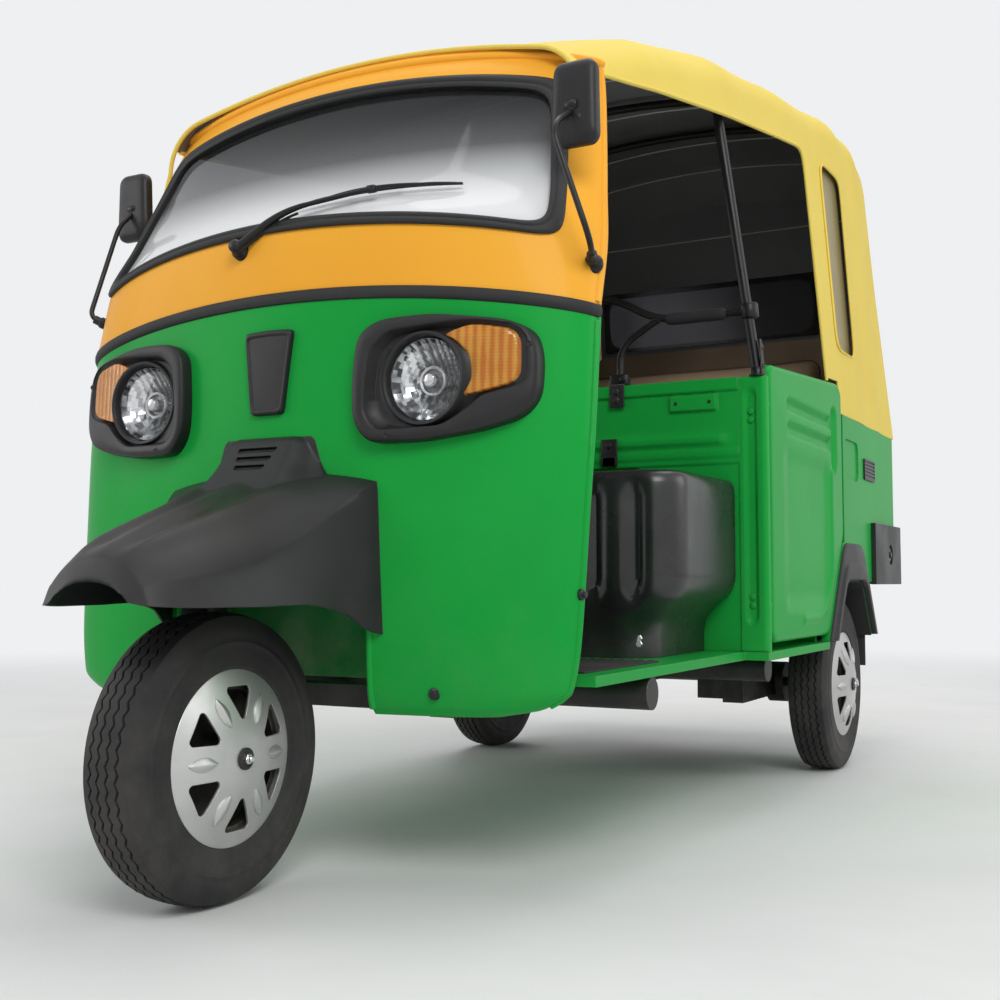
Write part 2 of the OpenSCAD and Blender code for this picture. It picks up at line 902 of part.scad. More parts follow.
module nose_badge() {
    low_half = badge_size[0] * badge_taper_share / 2;
    high_half = badge_size[0] / 2;
    color([0.05, 0.05, 0.05]) placed() difference() {
        intersection() {
            front_prism(-front_overhang, nose_setback + nose_depth)
                translate([0, badge_height]) eased(bezel_corner / 2) polygon([
                    [-low_half, -badge_size[1] / 2], [low_half, -badge_size[1] / 2],
                    [high_half, badge_size[1] / 2], [-high_half, badge_size[1] / 2]]);
            nose_fill(lamp_rows, cowl_bottom, belt_height, badge_proud, 0);
        }
        nose_fill(lamp_rows, cowl_bottom, belt_height, seat_gap, nose_depth);
    }
}

module wiper() {
    color([0.05, 0.05, 0.05]) placed() {
        translate(wiper_pivot) rotate([90, 0, 0])
            cylinder(wiper_boss[1], wiper_boss[0], wiper_boss[0], center = true);
        bar_path([wiper_pivot, wiper_elbow, wiper_blade_middle], wiper_arm_radius);
        bar_path([wiper_blade_ends[0], wiper_blade_middle, wiper_blade_ends[1]], wiper_blade_radius);
    }
}

module mirrors() {
    color([0.05, 0.05, 0.05]) placed() for (path = mirror_paths) {
        difference() {
            union() {
                bar_path(path, mirror_rod_radius);
                translate(path[0]) sphere(mirror_foot_radius);
            }
            nose_fill(upper_nose_shares, belt_top, header_height, nose_seat_gap, nose_depth);
        }
        translate(path[3] + [0, mirror_head[1] / 2, 0]) rotate([90, 0, 0])
            linear_extrude(mirror_head[1], center = true)
                soft_rect([mirror_head[0], mirror_head[2]], mirror_head_corner);
    }
}

module instrument_panel() {
    rows = [upper_nose_shares[0], upper_nose_shares[0] + [1, 0, 0, 0, 0]];
    low = panel_top - panel_height;
    color([0.08, 0.08, 0.09]) placed() {
        intersection() {
            translate([-panel_half, 0, low]) cube([2 * panel_half, panel_rear, panel_height]);
            nose_fill(rows, cowl_bottom, header_height, -nose_wall - panel_gap, nose_depth);
        }
        translate([0, panel_rear - panel_radius - panel_gap, panel_top])
            cylinder(panel_rise, panel_radius, panel_radius);
    }
}

module bulkhead() {
    height = waist_height - floor_top;
    between = body_width - 2 * post_width;
    groove_height = (post_groove_shares[1] - post_groove_shares[0]) * height;
    color([0.05, 0.42, 0.17]) placed() difference() {
        union() {
            translate([-body_half + side_wall, bulkhead_setback, floor_top])
                cube([body_width - 2 * side_wall, bulkhead_wall, height]);
            both_sides() translate([body_half - post_width, bulkhead_setback, floor_top])
                cube([post_width, post_depth, height]);
            for (share = bead_shares) {
                translate([-between / 2, bulkhead_setback, floor_top + share * height]) rotate([0, 90, 0])
                    cylinder(between, bead_radius, bead_radius);
            }
            translate([-between / 2, bulkhead_setback - waist_rail[1], waist_height - waist_rail[0]])
                cube([between, waist_rail[1] + overrun, waist_rail[0]]);
            both_sides() for (share = post_bolt_shares) {
                translate([body_half - post_bolt[0] - post_bolt[1], bulkhead_setback + overrun,
                    floor_top + share * height])
                    rotate([90, 0, 0])
                        cylinder(overrun + post_bolt[1], post_bolt[0], post_bolt[0], $fn = 6);
            }
            translate([bracket_x - bracket_size[0] / 2, bulkhead_setback - bracket_size[1],
                waist_height - bracket_drop - bracket_size[2] / 2])
                cube([bracket_size[0], bracket_size[1] + overrun, bracket_size[2]]);
        }
        both_sides() front_prism(bulkhead_setback - overrun, bulkhead_setback + post_groove[1])
            translate([body_half - post_width / 2 - post_bolt[1], floor_top + height
                * (post_groove_shares[0] + post_groove_shares[1]) / 2])
                soft_rect([post_groove[0], groove_height], post_groove[0] / 2 - seat_gap);
        for (side = [-1, 1]) {
            translate([bracket_x + side * bracket_hole_pitch / 2,
                bulkhead_setback - bracket_size[1] - overrun,
                waist_height - bracket_drop]) rotate([-90, 0, 0])
                cylinder(bracket_size[1] + bulkhead_wall + 2 * overrun, bracket_hole_radius,
                    bracket_hole_radius);
        }
    }
}

// Setback of the seat box's front at a place across it, with round columns and round ends
function box_face(x, half) =
    let (past = max(0, abs(x) - (half - box_corner)))
    column_depth * (1 - pow(abs(sin(90 * column_count * x / box_half)), column_power))
        + box_corner - sqrt(max(0, box_corner * box_corner - past * past));

module seat_box() {
    rear = bulkhead_setback - bead_radius - box_rear_gap;
    color([0.06, 0.06, 0.06]) placed() skin([for (row = box_shares)
        let (
            z = floor_top + row[0] * box_height,
            half = row[1] * box_half,
            front = box_front + row[2] * box_lead,
            places = [for (i = [0 : steps_across_box]) -half * cos(180 * i / steps_across_box)]
        )
        concat([for (x = places) [x, front + box_face(x, half), z]],
            [for (x = turned_round(places)) [x, rear, z]])]);
}

// A cushion with rounded upright edges standing on its lower face
module cushion(size) {
    linear_extrude(size[2]) soft_rect([size[0], size[1]], pad_corner);
}

module driver_seat() {
    box_rear = bulkhead_setback - bead_radius;
    color([0.45, 0.35, 0.26]) placed() {
        translate([0, box_rear - driver_pad[1] - driver_cushion_gap - driver_cushion[1] / 2, floor_top
            + box_height])
            cushion(driver_cushion);
        translate([0, pole_setback - rail_radius - seat_gap - driver_pad[1] / 2, driver_pad_low])
            cushion(driver_pad);
    }
}

module grab_rail() {
    end_x = pole_place(rail_pole_z) - bow_radius - rail_end_gap;
    right_half = [[-end_x, rail_pole_z], [-rail_split_x, rail_pole_z], [-rail_upper[0], rail_upper[1]]];
    left_half = [for (p = turned_round(right_half)) [-p[0], p[1]]];
    leg = [[rail_split_x, rail_pole_z], [rail_lower[0], rail_lower[1]], [rail_lower[0], waist_height
        + seat_gap]];
    color([0.06, 0.06, 0.06]) placed() {
        bow_tube(concat(right_half, left_half), pole_setback, rail_radius);
        both_sides() {
            bow_tube(leg, pole_setback, rail_radius);
            bar_between([rail_pad_x[0], pole_setback, rail_pole_z], [rail_pad_x[1], pole_setback,
                rail_pole_z],
                rail_pad_radius);
        }
    }
}

module seat_base() {
    half = body_half - door_thickness - door_gap;
    rear = rear_panel_y - side_corner;
    color([0.05, 0.42, 0.17]) placed() {
        translate([-half, base_front + seat_gap, floor_underside])
            cube([2 * half, seat_base_wall, seat_base_top - floor_underside]);
        translate([-half, base_front + seat_gap, seat_base_top - seat_base_wall])
            cube([2 * half, rear - base_front - seat_gap, seat_base_wall]);
    }
}

module passenger_seat() {
    color([0.55, 0.45, 0.34]) placed() {
        translate([0, base_front + seat_cushion_depth / 2, seat_base_top])
            cushion([2 * seat_half, seat_cushion_depth, seat_cushion_height]);
        translate([0, base_front + seat_cushion_depth + seat_back_thickness,
            seat_base_top + seat_gap + seat_back_thickness / 2 * sin(seat_back_lean)])
            rotate([-seat_back_lean, 0, 0])
                cushion([2 * seat_back_half, seat_back_thickness, seat_back_height]);
    }
}

// Side view of a wheel arch about the rear axle, drawn out by a width
module arch_outline(width) {
    low = arch_half_low + width * arch_low_share;
    high = arch_half_high - width * arch_high_share;
    translate([wheelbase, 0]) polygon([[-low, arch_foot - width], [-low, arch_foot], [-high, arch_top
        + width],
        [high, arch_top + width], [low, arch_foot], [low, arch_foot - width]]);
}

module arch_ring() {
    difference() {
        arch_outline(flare_width);
        arch_outline(0);
        translate([0, -flare_width]) square([2 * wheelbase, arch_foot + flare_width]);
    }
}

// Side view of a rear side panel from a front edge to the rear corner
module side_outline(front) {
    corner = rear_panel_y - side_corner;
    difference() {
        union() {
            translate([front, side_low]) square([corner - front, waist_height - side_low]);
            arch_ring();
        }
        arch_outline(0);
    }
}

module rear_corner() {
    translate([body_half - side_corner, rear_panel_y - side_corner, side_low])
        linear_extrude(waist_height - side_low) intersection() {
            difference() {
                circle(side_corner);
                circle(side_corner - side_wall);
            }
            square([side_corner, side_corner]);
        }
}

// A pressed pocket behind the doorway on the left
module side_pocket() {
    side_prism(body_half - press_depth, body_half + overrun)
        translate([door_rear + pocket_lead + pocket[0] / 2, waist_height - pocket_drop])
            soft_rect(pocket, pocket_corner);
}

module rear_side_left() {
    color([0.05, 0.45, 0.18]) placed() {
        difference() {
            side_prism(body_half - side_wall, body_half) side_outline(door_rear);
            side_pocket();
        }
        rear_corner();
    }
}

module rear_side_right() {
    front = bulkhead_setback + post_depth + seat_gap;
    color([0.05, 0.45, 0.18]) placed() mirror([1, 0, 0]) {
        difference() {
            union() {
                side_prism(body_half - side_wall, body_half) side_outline(door_rear);
                side_prism(body_half - side_wall, body_half) difference() {
                    translate([front, floor_top + seat_gap])
                        square([door_rear - front + overrun, waist_height - floor_top - seat_gap]);
                    arch_outline(flare_width);
                }
            }
            for (drop = swage_drops) {
                translate([body_half - swage_depth, front + side_corner, waist_height - drop])
                    cube([swage_depth + overrun, door_rear - front - 2 * side_corner, swage_width]);
            }
            side_pocket();
        }
        rear_corner();
    }
}

module rear_panel() {
    half = body_half - side_corner - seat_gap;
    color([0.05, 0.45, 0.18]) placed() difference() {
        translate([-half, rear_panel_y - side_wall, rear_low])
            cube([2 * half, side_wall, waist_height - rear_low]);
        for (i = [0 : rear_louvre_count - 1]) {
            translate([-rear_louvre[0] / 2, rear_panel_y - side_wall - overrun, rear_louvre_low + i
                * rear_louvre_pitch])
                cube([rear_louvre[0], side_wall + 2 * overrun, rear_louvre[1]]);
        }
    }
}

module arch_flares() {
    color([0.05, 0.05, 0.05]) placed() both_sides() {
        side_prism(body_half + seat_gap, body_half + flare_proud) arch_ring();
        translate([body_half - side_wall - seat_gap - flap_size[0], wheelbase + arch_half_low
            + flap_size[1],
            arch_foot - flap_size[2] / 2])
            cube(flap_size);
    }
}

module rear_bumper() {
    outer_half = body_half + bumper_proud;
    rear = rear_panel_y + bumper_depth;
    front = rear - bumper_side;
    color([0.05, 0.05, 0.05]) placed() {
        difference() {
            translate([0, 0, bumper_low]) linear_extrude(bumper_height) intersection() {
                difference() {
                    translate([0, rear - wheelbase / 2])
                        soft_rect([2 * outer_half, wheelbase], bumper_corner);
                    translate([0, rear_panel_y + seat_gap - wheelbase / 2])
                        soft_rect([body_width + 2 * seat_gap, wheelbase], side_corner + seat_gap);
                }
                translate([-body_width, front]) square([2 * body_width, wheelbase]);
            }
            both_sides() translate([body_half + bumper_proud / 2, rear - bumper_knob_lead, bumper_low
                + bumper_height / 2])
                rotate([0, 90, 0]) cylinder(bumper_proud, bumper_knob_radius, bumper_knob_radius);
        }
    }
}

module tail_lamps() {
    color([0.65, 0.05, 0.05]) placed() both_sides()
        translate([body_half - side_corner - tail_lamp[0] / 2 - overrun, rear_panel_y + seat_gap
            + tail_lamp[1] / 2, tail_lamp_low])
            linear_extrude(tail_lamp[2]) soft_rect([tail_lamp[0], tail_lamp[1]], tail_lamp[1] / 4);
}

module side_vents() {
    color([0.05, 0.05, 0.05]) placed() both_sides() difference() {
        side_prism(body_half + seat_gap, body_half + vent_proud)
            translate([wheelbase + vent_setback, waist_height - vent_drop])
                soft_rect(vent_size, vent_proud);
        for (i = [1 : vent_slats]) {
            translate([body_half + vent_proud / 2, wheelbase + vent_setback - vent_size[0] / 2 + vent_proud,
                waist_height - vent_drop - vent_size[1] / 2 + i * vent_size[1] / (vent_slats + 1)])
                cube([vent_proud, vent_size[0] - 2 * vent_proud, vent_size[1] / vent_slats / 3]);
        }
    }
}

// A hood station at any share of its length
function hood_row(share) = [share, lookup(share, crown_pairs), lookup(share, width_pairs)];

// Left half of a hood section from the waist up to the crown, in by an inset
function hood_half(row, inset) =
    let (
        crown = hood_front_crown + row[1] * (hood_height - hood_front_crown),
        half = hood_front_half_width + row[2] * (hood_rear_half - hood_front_half_width),
        middle_x = half - hood_shoulder_radius,
        middle_z = crown - hood_crown_rise - hood_shoulder_radius,
        bend = hood_shoulder_radius - inset,
        end_x = middle_x + bend * cos(hood_shoulder_turn),
        end_z = middle_z + bend * sin(hood_shoulder_turn),
        top = crown - inset
    )
    concat(
        [[body_half - inset, hood_low]],
        [for (i = [0 : hood_shoulder_steps]) let (turn = hood_shoulder_turn * i / hood_shoulder_steps)
            [middle_x + bend * cos(turn), middle_z + bend * sin(turn)]],
        [for (i = [1 : hood_roof_steps]) let (left = 1 - i / (hood_roof_steps + 1))
            [end_x * left, top - (top - end_z) * left * left]]);

function hood_y(row, z) = hood_front_setback + row[0] * hood_length
    - rear_lean * pow(row[0], rear_lean_power) * (z - hood_low) / (hood_height - hood_low);

function hood_path(row, inset) =
    let (half = hood_half(row, inset))
    concat([for (p = half) [-p[0], hood_y(row, p[1]), p[1]]],
        [for (p = turned_round(half)) [p[0], hood_y(row, p[1]), p[1]]]);

module hood_sheet(rows, outside, inside) {
    skin([for (row = rows) concat(hood_path(row, outside), turned_round(hood_path(row, inside)))]);
}

module side_opening() {
    rear = wheelbase - hood_opening_lead;
    side_prism(-body_width, body_width) eased(opening_corner) polygon([
        [-wheelbase, 0], [rear, 0], [rear, opening_rear_height], [bulkhead_setback, opening_middle_height],
        [nose_setback + 2 * nose_depth, opening_front_height], [-wheelbase,
            opening_front_height - nose_fall]]);
}

module quarter_outline(margin) {
    translate([wheelbase - quarter_window_lead + quarter_window[0] / 2, quarter_window_low
        + quarter_window[1] / 2])
        eased(window_corner - margin) square(quarter_window - [2 * margin, 2 * margin], center = true);
}

module rear_window_outline(margin) {
    translate([0, rear_window_low + rear_window[1] / 2])
        soft_rect(rear_window - [2 * margin, 2 * margin], window_corner - margin);
}

module rear_wall(inset, thickness, from) {
    row = hood_shares[len(hood_shares) - 1];
    path = hood_path(row, inset);
    skin([[for (p = path) p - [0, from + thickness, 0]], [for (p = path) p - [0, from, 0]]]);
}

module canopy() {
    color([0.86, 0.68, 0.12]) placed() {
        difference() {
            hood_sheet(hood_shares, 0, hood_wall);
            side_opening();
            side_prism(-body_width, body_width) quarter_outline(0);
            side_prism(0, body_width) offset(delta = door_gap) door_outline();
            nose_fill(upper_nose_shares, belt_top, header_height + overrun, nose_seat_gap, overrun);
        }
        difference() {
            rear_wall(hood_wall + seat_gap, hood_wall, 0);
            front_prism(wheelbase, rear_panel_y + overrun) rear_window_outline(0);
        }
    }
}

// A point on the straight side of the hood at a height, in by an inset
function hood_side_point(row, inset, z) =
    let (half = hood_half(row, inset), climb = (z - half[0][1]) / (half[1][1] - half[0][1]))
    [half[0][0] + climb * (half[1][0] - half[0][0]), hood_y(row, z), z];

// Window film sewn behind the hood, lapping its windows all round
module hood_windows() {
    outer = hood_wall + film_gap;
    inner = outer + film_wall;
    low = quarter_window_low - film_lap;
    high = quarter_window_low + quarter_window[1] + film_lap;
    front = wheelbase - quarter_window_lead - film_lap;
    rear = front + quarter_window[0] + 2 * film_lap;
    shares = [for (i = [0 : film_steps]) (front + (rear - front)
        * i / film_steps - hood_front_setback) / hood_length];
    color([0.45, 0.42, 0.28]) placed() {
        both_sides() skin([for (share = shares) let (row = hood_row(share))
            [hood_side_point(row, inner, low), hood_side_point(row, inner, high),
                hood_side_point(row, outer, high), hood_side_point(row, outer, low)]]);
        translate([0, hood_rear_y - hood_wall - film_wall, hood_low]) rotate([90 + rear_lean_angle, 0, 0])
            linear_extrude(film_wall, center = true) translate([0, -hood_low])
                rear_window_outline(-film_lap);
    }
}

// Where the upright poles stand
function pole_share() = (pole_setback - hood_front_setback) / hood_length;
function pole_place(z) =
    let (head = hood_half(hood_row(pole_share()), bow_inset)[1], foot = body_half - pole_foot_inset)
    foot + (head[0] - foot) * (z - waist_height) / (head[1] - waist_height);
// A round tube skinned along a path that lies in one upright plane across the part
module bow_tube(points, setback, radius) {
    last = len(points) - 1;
    skin([for (k = [0 : last])
        let (
            ahead = points[min(k + 1, last)] - points[max(k - 1, 0)],
            unit = ahead / norm(ahead)
        )
        [for (i = [0 : bow_sides - 1]) let (turn = 360 * i / bow_sides)
            [points[k][0] - radius * cos(turn) * unit[1], setback - radius * sin(turn),
                points[k][1] + radius * cos(turn) * unit[0]]]]);
}

module hood_frame() {
    color([0.06, 0.06, 0.06]) placed() {
        for (share = concat([pole_share()], bow_shares)) {
            half = hood_half(hood_row(share), bow_inset);
            above = [for (i = [1 : len(half) - 1]) half[i]];
            foot = [body_half - pole_foot_inset, waist_height + pole_socket[1] / 2];
            side = share == pole_share() ? concat([foot], above) : above;
            bow_tube(concat([for (p = side) [-p[0], p[1]]], turned_round(side)),
                hood_front_setback + share * hood_length, bow_radius);
        }
        both_sides() translate([body_half - pole_foot_inset, pole_setback, waist_height + seat_gap])
            cylinder(pole_socket[1], pole_socket[0], pole_socket[0]);
    }
}

module engine() {
    half = engine_size[0] / 2;
    reach = rail_x - rail_size[0] / 2 - seat_gap;
    color([0.25, 0.25, 0.26]) placed() {
        translate([0, wheelbase + engine_lead, engine_low]) plain_box(engine_size);
        for (setback = engine_lug_setbacks) {
            translate([-reach, wheelbase + setback, floor_underside - rail_size[1]])
                cube([2 * reach, engine_lug[0], engine_lug[1]]);
        }
    }
}

module silencer() {
    inner = rail_x + rail_size[0] / 2 + seat_gap;
    color([0.2, 0.2, 0.2]) placed() {
        translate([-silencer_x, wheelbase + silencer_setback, silencer_height]) rotate([-90, 0, 0])
            cylinder(silencer_length, silencer_radius, silencer_radius);
        translate([-silencer_x, wheelbase + silencer_setback + silencer_length - overrun, silencer_height])
            rotate([-90, 0, 0]) cylinder(tail_pipe[1], tail_pipe[0], tail_pipe[0]);
        for (share = silencer_hanger_shares) {
            translate([-silencer_x, wheelbase + silencer_setback + share * silencer_length,
                silencer_height])
                cube([silencer_x - inner, silencer_hanger[0], silencer_hanger[1]]);
        }
    }
}

module rear_arms() {
    inner = rail_x + rail_size[0] / 2 + seat_gap;
    pivot = wheelbase - arm_pivot_lead;
    color([0.12, 0.12, 0.13]) placed() both_sides() {
        translate([arm_x - arm_size[0] / 2, pivot, axle_height - arm_size[1] / 2])
            cube([arm_size[0], arm_pivot_lead + stub_flange[0], arm_size[1]]);
        translate([inner, pivot, axle_height + arm_size[1] / 2 - arm_bracket[1]])
            cube([arm_x - inner, arm_bracket[0], arm_bracket[1] + arm_bracket_rise]);
        translate([arm_x, wheelbase, axle_height]) rotate([0, 90, 0]) {
            cylinder(rear_wheel_x - arm_x + axle_end, stub_radius, stub_radius);
            cylinder(arm_size[0] / 2 + stub_flange[1], stub_flange[0], stub_flange[0]);
        }
    }
}

// Lugs on the post that reach into the door's edge, each with its pin
module door_hinges() {
    post = bulkhead_setback + post_depth + seat_gap;
    color([0.07, 0.07, 0.07]) placed() for (height = hinge_heights) {
        translate([hinge_x, hinge_y, height - hinge_lug / 2])
            cylinder(hinge_lug, hinge_eye_radius, hinge_eye_radius);
        translate([hinge_x - hinge_eye_radius, post, height - hinge_lug / 2])
            cube([2 * hinge_eye_radius, hinge_y - post, hinge_lug]);
        translate([hinge_x, hinge_y, height - hinge_pin_reach])
            cylinder(2 * hinge_pin_reach, hinge_pin_radius, hinge_pin_radius);
    }
}

module door_outline() {
    rear = door_rear - door_gap;
    eased(door_corner) difference() {
        polygon([[door_front, floor_underside + door_sill_rise], [rear, floor_underside + door_sill_rise],
            [rear, waist_height + door_rear_rise], [door_front, waist_height + door_front_rise]]);
        offset(delta = door_gap) arch_outline(flare_width);
    }
}

module passenger_door() {
    low = floor_underside + door_sill_rise;
    tall = waist_height + door_front_rise - low;
    long = door_rear - door_gap - door_front;
    slot = hinge_lug + 2 * hinge_side_gap;
    color([0.05, 0.45, 0.18]) placed() difference() {
        side_prism(body_half - door_thickness, body_half) door_outline();
        for (i = [0 : len(door_grooves) - 1]) {
            groove = door_grooves[i];
            side_prism(body_half - press_depth, body_half + overrun)
                translate([door_front + groove[0] * long, low + groove[1] * tall])
                    soft_rect([groove[2], groove[3]], groove[3] * groove_corner_shares[i]);
        }
        for (height = hinge_heights) {
            translate([body_half - door_thickness - overrun, door_front - overrun, height - slot / 2])
                cube([door_thickness + 2 * overrun, overrun + hinge_in + hinge_eye_radius + door_gap,
                    slot]);
            translate([hinge_x, hinge_y, height - hinge_pin_reach - running_gap])
                cylinder(2 * (hinge_pin_reach + running_gap), hinge_pin_radius + running_gap,
                    hinge_pin_radius + running_gap);
        }
    }
}

module fork() {
    knee = [fork_x, fork_knee[0], fork_knee[1]];
    pivot = [fork_x, fork_pivot[0], fork_pivot[1]];
    color([0.08, 0.08, 0.08]) placed() {
        along_steering(column_low)
            cylinder((handlebar_height - column_low) / cos(steer_rake), column_radius, column_radius);
        bar_path([[0, axis_setback(column_low), column_low], knee, pivot, [fork_x, 0, axle_height]],
            fork_leg_radius);
        translate([0, axis_setback(column_low), column_low]) sphere(column_radius * swell_share);
        bar_between([fork_x - link_radius, 0, axle_height], [axle_end, 0, axle_height], stub_radius);
        bar_between([damper_x, fork_knee[0], fork_knee[1]], [damper_x, fork_pivot[0] / 2,
            fork_pivot[1]], damper_radius);
        bar_between([fork_x, fork_knee[0], fork_knee[1]], [damper_x, fork_knee[0], fork_knee[1]],
            link_radius);
        bar_between([fork_x, fork_pivot[0] / 2, fork_pivot[1] - link_radius],
            [damper_x, fork_pivot[0] / 2, fork_pivot[1]], link_radius);
    }
}

module handlebar() {
    middle = [0, axis_setback(handlebar_height + headstock_radius), handlebar_height + headstock_radius];
    color([0.06, 0.06, 0.06]) placed() {
        along_steering(handlebar_height + seat_gap)
            cylinder(2 * headstock_radius, headstock_radius, headstock_radius);
        both_sides() {
            bar_path([middle, middle + [bar_middle_half, 0, 0],
                middle + [handlebar_half_width, bar_sweep, bar_rise]], bar_radius);
            turn = middle + [bar_middle_half, 0, 0];
            end = middle + [handlebar_half_width, bar_sweep, bar_rise];
            bar_between(end - (end - turn) * grip_length / norm(end - turn), end, grip_radius);
        }
    }
}

// Wheels are drawn about Z with their outer face up
module tyre_shape() {
    bead = rim_diameter / 2;
    bulge = tyre_width / 2;
    color([0.05, 0.05, 0.05]) rotate_extrude() difference() {
        union() {
            translate([bead, -bead_half]) square([tyre_radius - tread_depth - bead, 2 * bead_half]);
            translate([bulge_radius, 0]) circle(bulge);
            translate([tyre_radius - tread_depth / 2, 0])
                soft_rect([tread_depth, 2 * tread_half], tread_corner);
        }
        translate([0, -tyre_width]) square([bead, 2 * tyre_width]);
    }
}

module rim_shape() {
    outer = rim_diameter / 2 - seat_gap;
    lip = bead_half + seat_gap;
    color([0.35, 0.36, 0.37]) difference() {
        rotate_extrude() {
            translate([outer - rim_wall, -lip - rim_wall / 2]) square([rim_wall, 2 * lip + rim_wall]);
            for (side = [-1, 1]) {
                translate([outer + rim_lip / 2 - rim_wall / 2, side * (lip + rim_wall / 4)])
                    square([rim_lip + rim_wall, rim_wall / 2], center = true);
            }
            translate([hub_radius - rim_wall, rim_lip]) square([outer - hub_radius, rim_wall]);
            translate([0, -hub_length / 2 - rim_wall]) square([hub_radius, hub_length]);
            translate([0, -drum_depth]) square([drum_radius, drum_depth]);
        }
        translate([0, 0, -hub_length])
            cylinder(2 * hub_length, stub_radius + running_gap, stub_radius + running_gap);
    }
}

// A triangle with round corners, its apex towards the middle of the wheel
module cover_window_shape() {
    corners = [[cover_window[0], 0], [cover_window[1], cover_window_half], [cover_window[1],
        -cover_window_half]];
    for (i = [0 : 2]) {
        from = corners[i];
        to = corners[(i + 1) % 3];
        aside = [to[1] - from[1], from[0] - to[0]] * cover_window_corner / norm(to - from);
        translate(from) circle(cover_window_corner);
        polygon([from, from - aside, to - aside, to]);
    }
    polygon(corners);
}

// A pointed leaf lying along X about the middle
module leaf_shape() {
    intersection() {
        translate([0, leaf_offset]) circle(leaf_radius);
        translate([0, -leaf_offset]) circle(leaf_radius);
    }
}

module cover_shape() {
    ball = (cover_radius * cover_radius + cover_dome * cover_dome) / (2 * cover_dome);
    middle = cover_seat + cover_dome - ball;
    leaf_tilt = asin(leaf_ring / ball);
    color([0.70, 0.71, 0.72]) difference() {
        union() {
            rotate_extrude($fn = 180) {
                intersection() {
                    translate([0, middle]) difference() {
                        circle(ball, $fn = 720);
                        circle(ball - cover_wall, $fn = 720);
                    }
                    translate([0, cover_seat - cover_wall]) square([cover_radius, cover_dome + cover_wall]);
                }
                translate([cover_radius - cover_wall, cover_seat - cover_wall])
                    square([cover_wall, cover_wall]);
                translate([cover_clip_radius - cover_wall, clip_foot])
                    square([cover_wall, middle + sqrt(pow(ball - cover_wall / 2,
                        2) - pow(cover_clip_radius, 2)) - clip_foot]);
            }
            for (i = [0 : cover_window_count - 1]) {
                rotate([0, 0, (i + 1 / 2) * 360 / cover_window_count]) translate([0, 0, middle])
                    rotate([0, leaf_tilt, 0])
                    translate([0, 0, ball - cover_wall]) linear_extrude(cover_wall + leaf_proud)
                        leaf_shape();
            }
            translate([0, 0, middle + ball - cover_wall])
                cylinder(cover_wall + nut_height, nut_radius, nut_radius, $fn = 6);
            translate([0, 0, middle + ball - cover_wall])
                cylinder(cover_wall + leaf_proud, cover_hub_radius, cover_hub_radius);
        }
        for (i = [0 : cover_window_count - 1]) {
            rotate([0, 0, i * 360 / cover_window_count]) translate([0, 0, cover_seat])
                linear_extrude(2 * cover_dome) cover_window_shape();
        }
    }
}

module on_front_axle() {
    placed() translate([0, 0, axle_height]) rotate([0, 90, 0]) children();
}

module on_rear_axle(side) {
    placed() translate([side * rear_wheel_x, wheelbase, axle_height]) rotate([0, side * 90, 0]) children();
}

module front_tyre() {
    on_front_axle() tyre_shape();
}

module front_rim() {
    on_front_axle() rim_shape();
}

module front_wheel_cover() {
    on_front_axle() cover_shape();
}

module rear_tyre_left() {
    on_rear_axle(1) tyre_shape();
}

module rear_rim_left() {
    on_rear_axle(1) rim_shape();
}

module rear_wheel_cover_left() {
    on_rear_axle(1) cover_shape();
}

module rear_tyre_right() {
    on_rear_axle(-1) tyre_shape();
}

module rear_rim_right() {
    on_rear_axle(-1) rim_shape();
}

module rear_wheel_cover_right() {
    on_rear_axle(-1) cover_shape();
}

chassis_rails();
crossmembers();
floor_pan();
floor_mat();
wheel_well();
front_cowl();
belt_moulding();
windscreen_surround();
windscreen_gasket();
windscreen();
front_mudguard();
headlamp_bezels();
headlamps();
turn_lamps();
nose_badge();
wiper();
mirrors();
instrument_panel();
bulkhead();
seat_box();
driver_seat();
grab_rail();
seat_base();
passenger_seat();
rear_side_left();
rear_side_right();
rear_panel();
arch_flares();
rear_bumper();
tail_lamps();
side_vents();
canopy();
hood_frame();
hood_windows();
engine();
silencer();
rear_arms();
door_hinges();
passenger_door();
fork();
handlebar();
front_tyre();
front_rim();
front_wheel_cover();
rear_tyre_left();
rear_rim_left();
rear_wheel_cover_left();
rear_tyre_right();
rear_rim_right();
rear_wheel_cover_right();
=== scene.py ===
import math
from bisect import bisect_right

import bmesh
import bpy
from mathutils import Matrix, Vector
from mathutils.bvhtree import BVHTree


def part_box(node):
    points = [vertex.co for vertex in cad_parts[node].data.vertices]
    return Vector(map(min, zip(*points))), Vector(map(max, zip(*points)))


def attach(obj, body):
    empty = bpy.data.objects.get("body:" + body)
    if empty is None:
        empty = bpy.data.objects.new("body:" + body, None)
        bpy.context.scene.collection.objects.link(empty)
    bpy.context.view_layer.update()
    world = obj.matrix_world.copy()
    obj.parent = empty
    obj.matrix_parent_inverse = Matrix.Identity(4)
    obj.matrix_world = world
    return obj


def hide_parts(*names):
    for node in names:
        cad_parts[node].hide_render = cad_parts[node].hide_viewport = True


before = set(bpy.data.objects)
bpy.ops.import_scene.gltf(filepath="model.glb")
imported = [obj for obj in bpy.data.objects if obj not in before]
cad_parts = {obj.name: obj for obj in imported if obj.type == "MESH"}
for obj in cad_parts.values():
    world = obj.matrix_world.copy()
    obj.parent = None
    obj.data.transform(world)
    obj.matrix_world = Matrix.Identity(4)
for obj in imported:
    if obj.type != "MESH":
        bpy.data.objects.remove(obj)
scene = bpy.context.scene
scene.view_settings.view_transform = "Standard"
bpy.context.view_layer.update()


def middleOf(node):
    low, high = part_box(node)
    return Vector([(a + b) / 2 for a, b in zip(low, high)])


axle = middleOf("front_tyre")  # every setback below is counted back from here


def at(x, setback, z):
    return Vector((x, axle.y + setback, z))


forward, upward = (0, -1, 0), (0, 0, 1)


# camera and studio

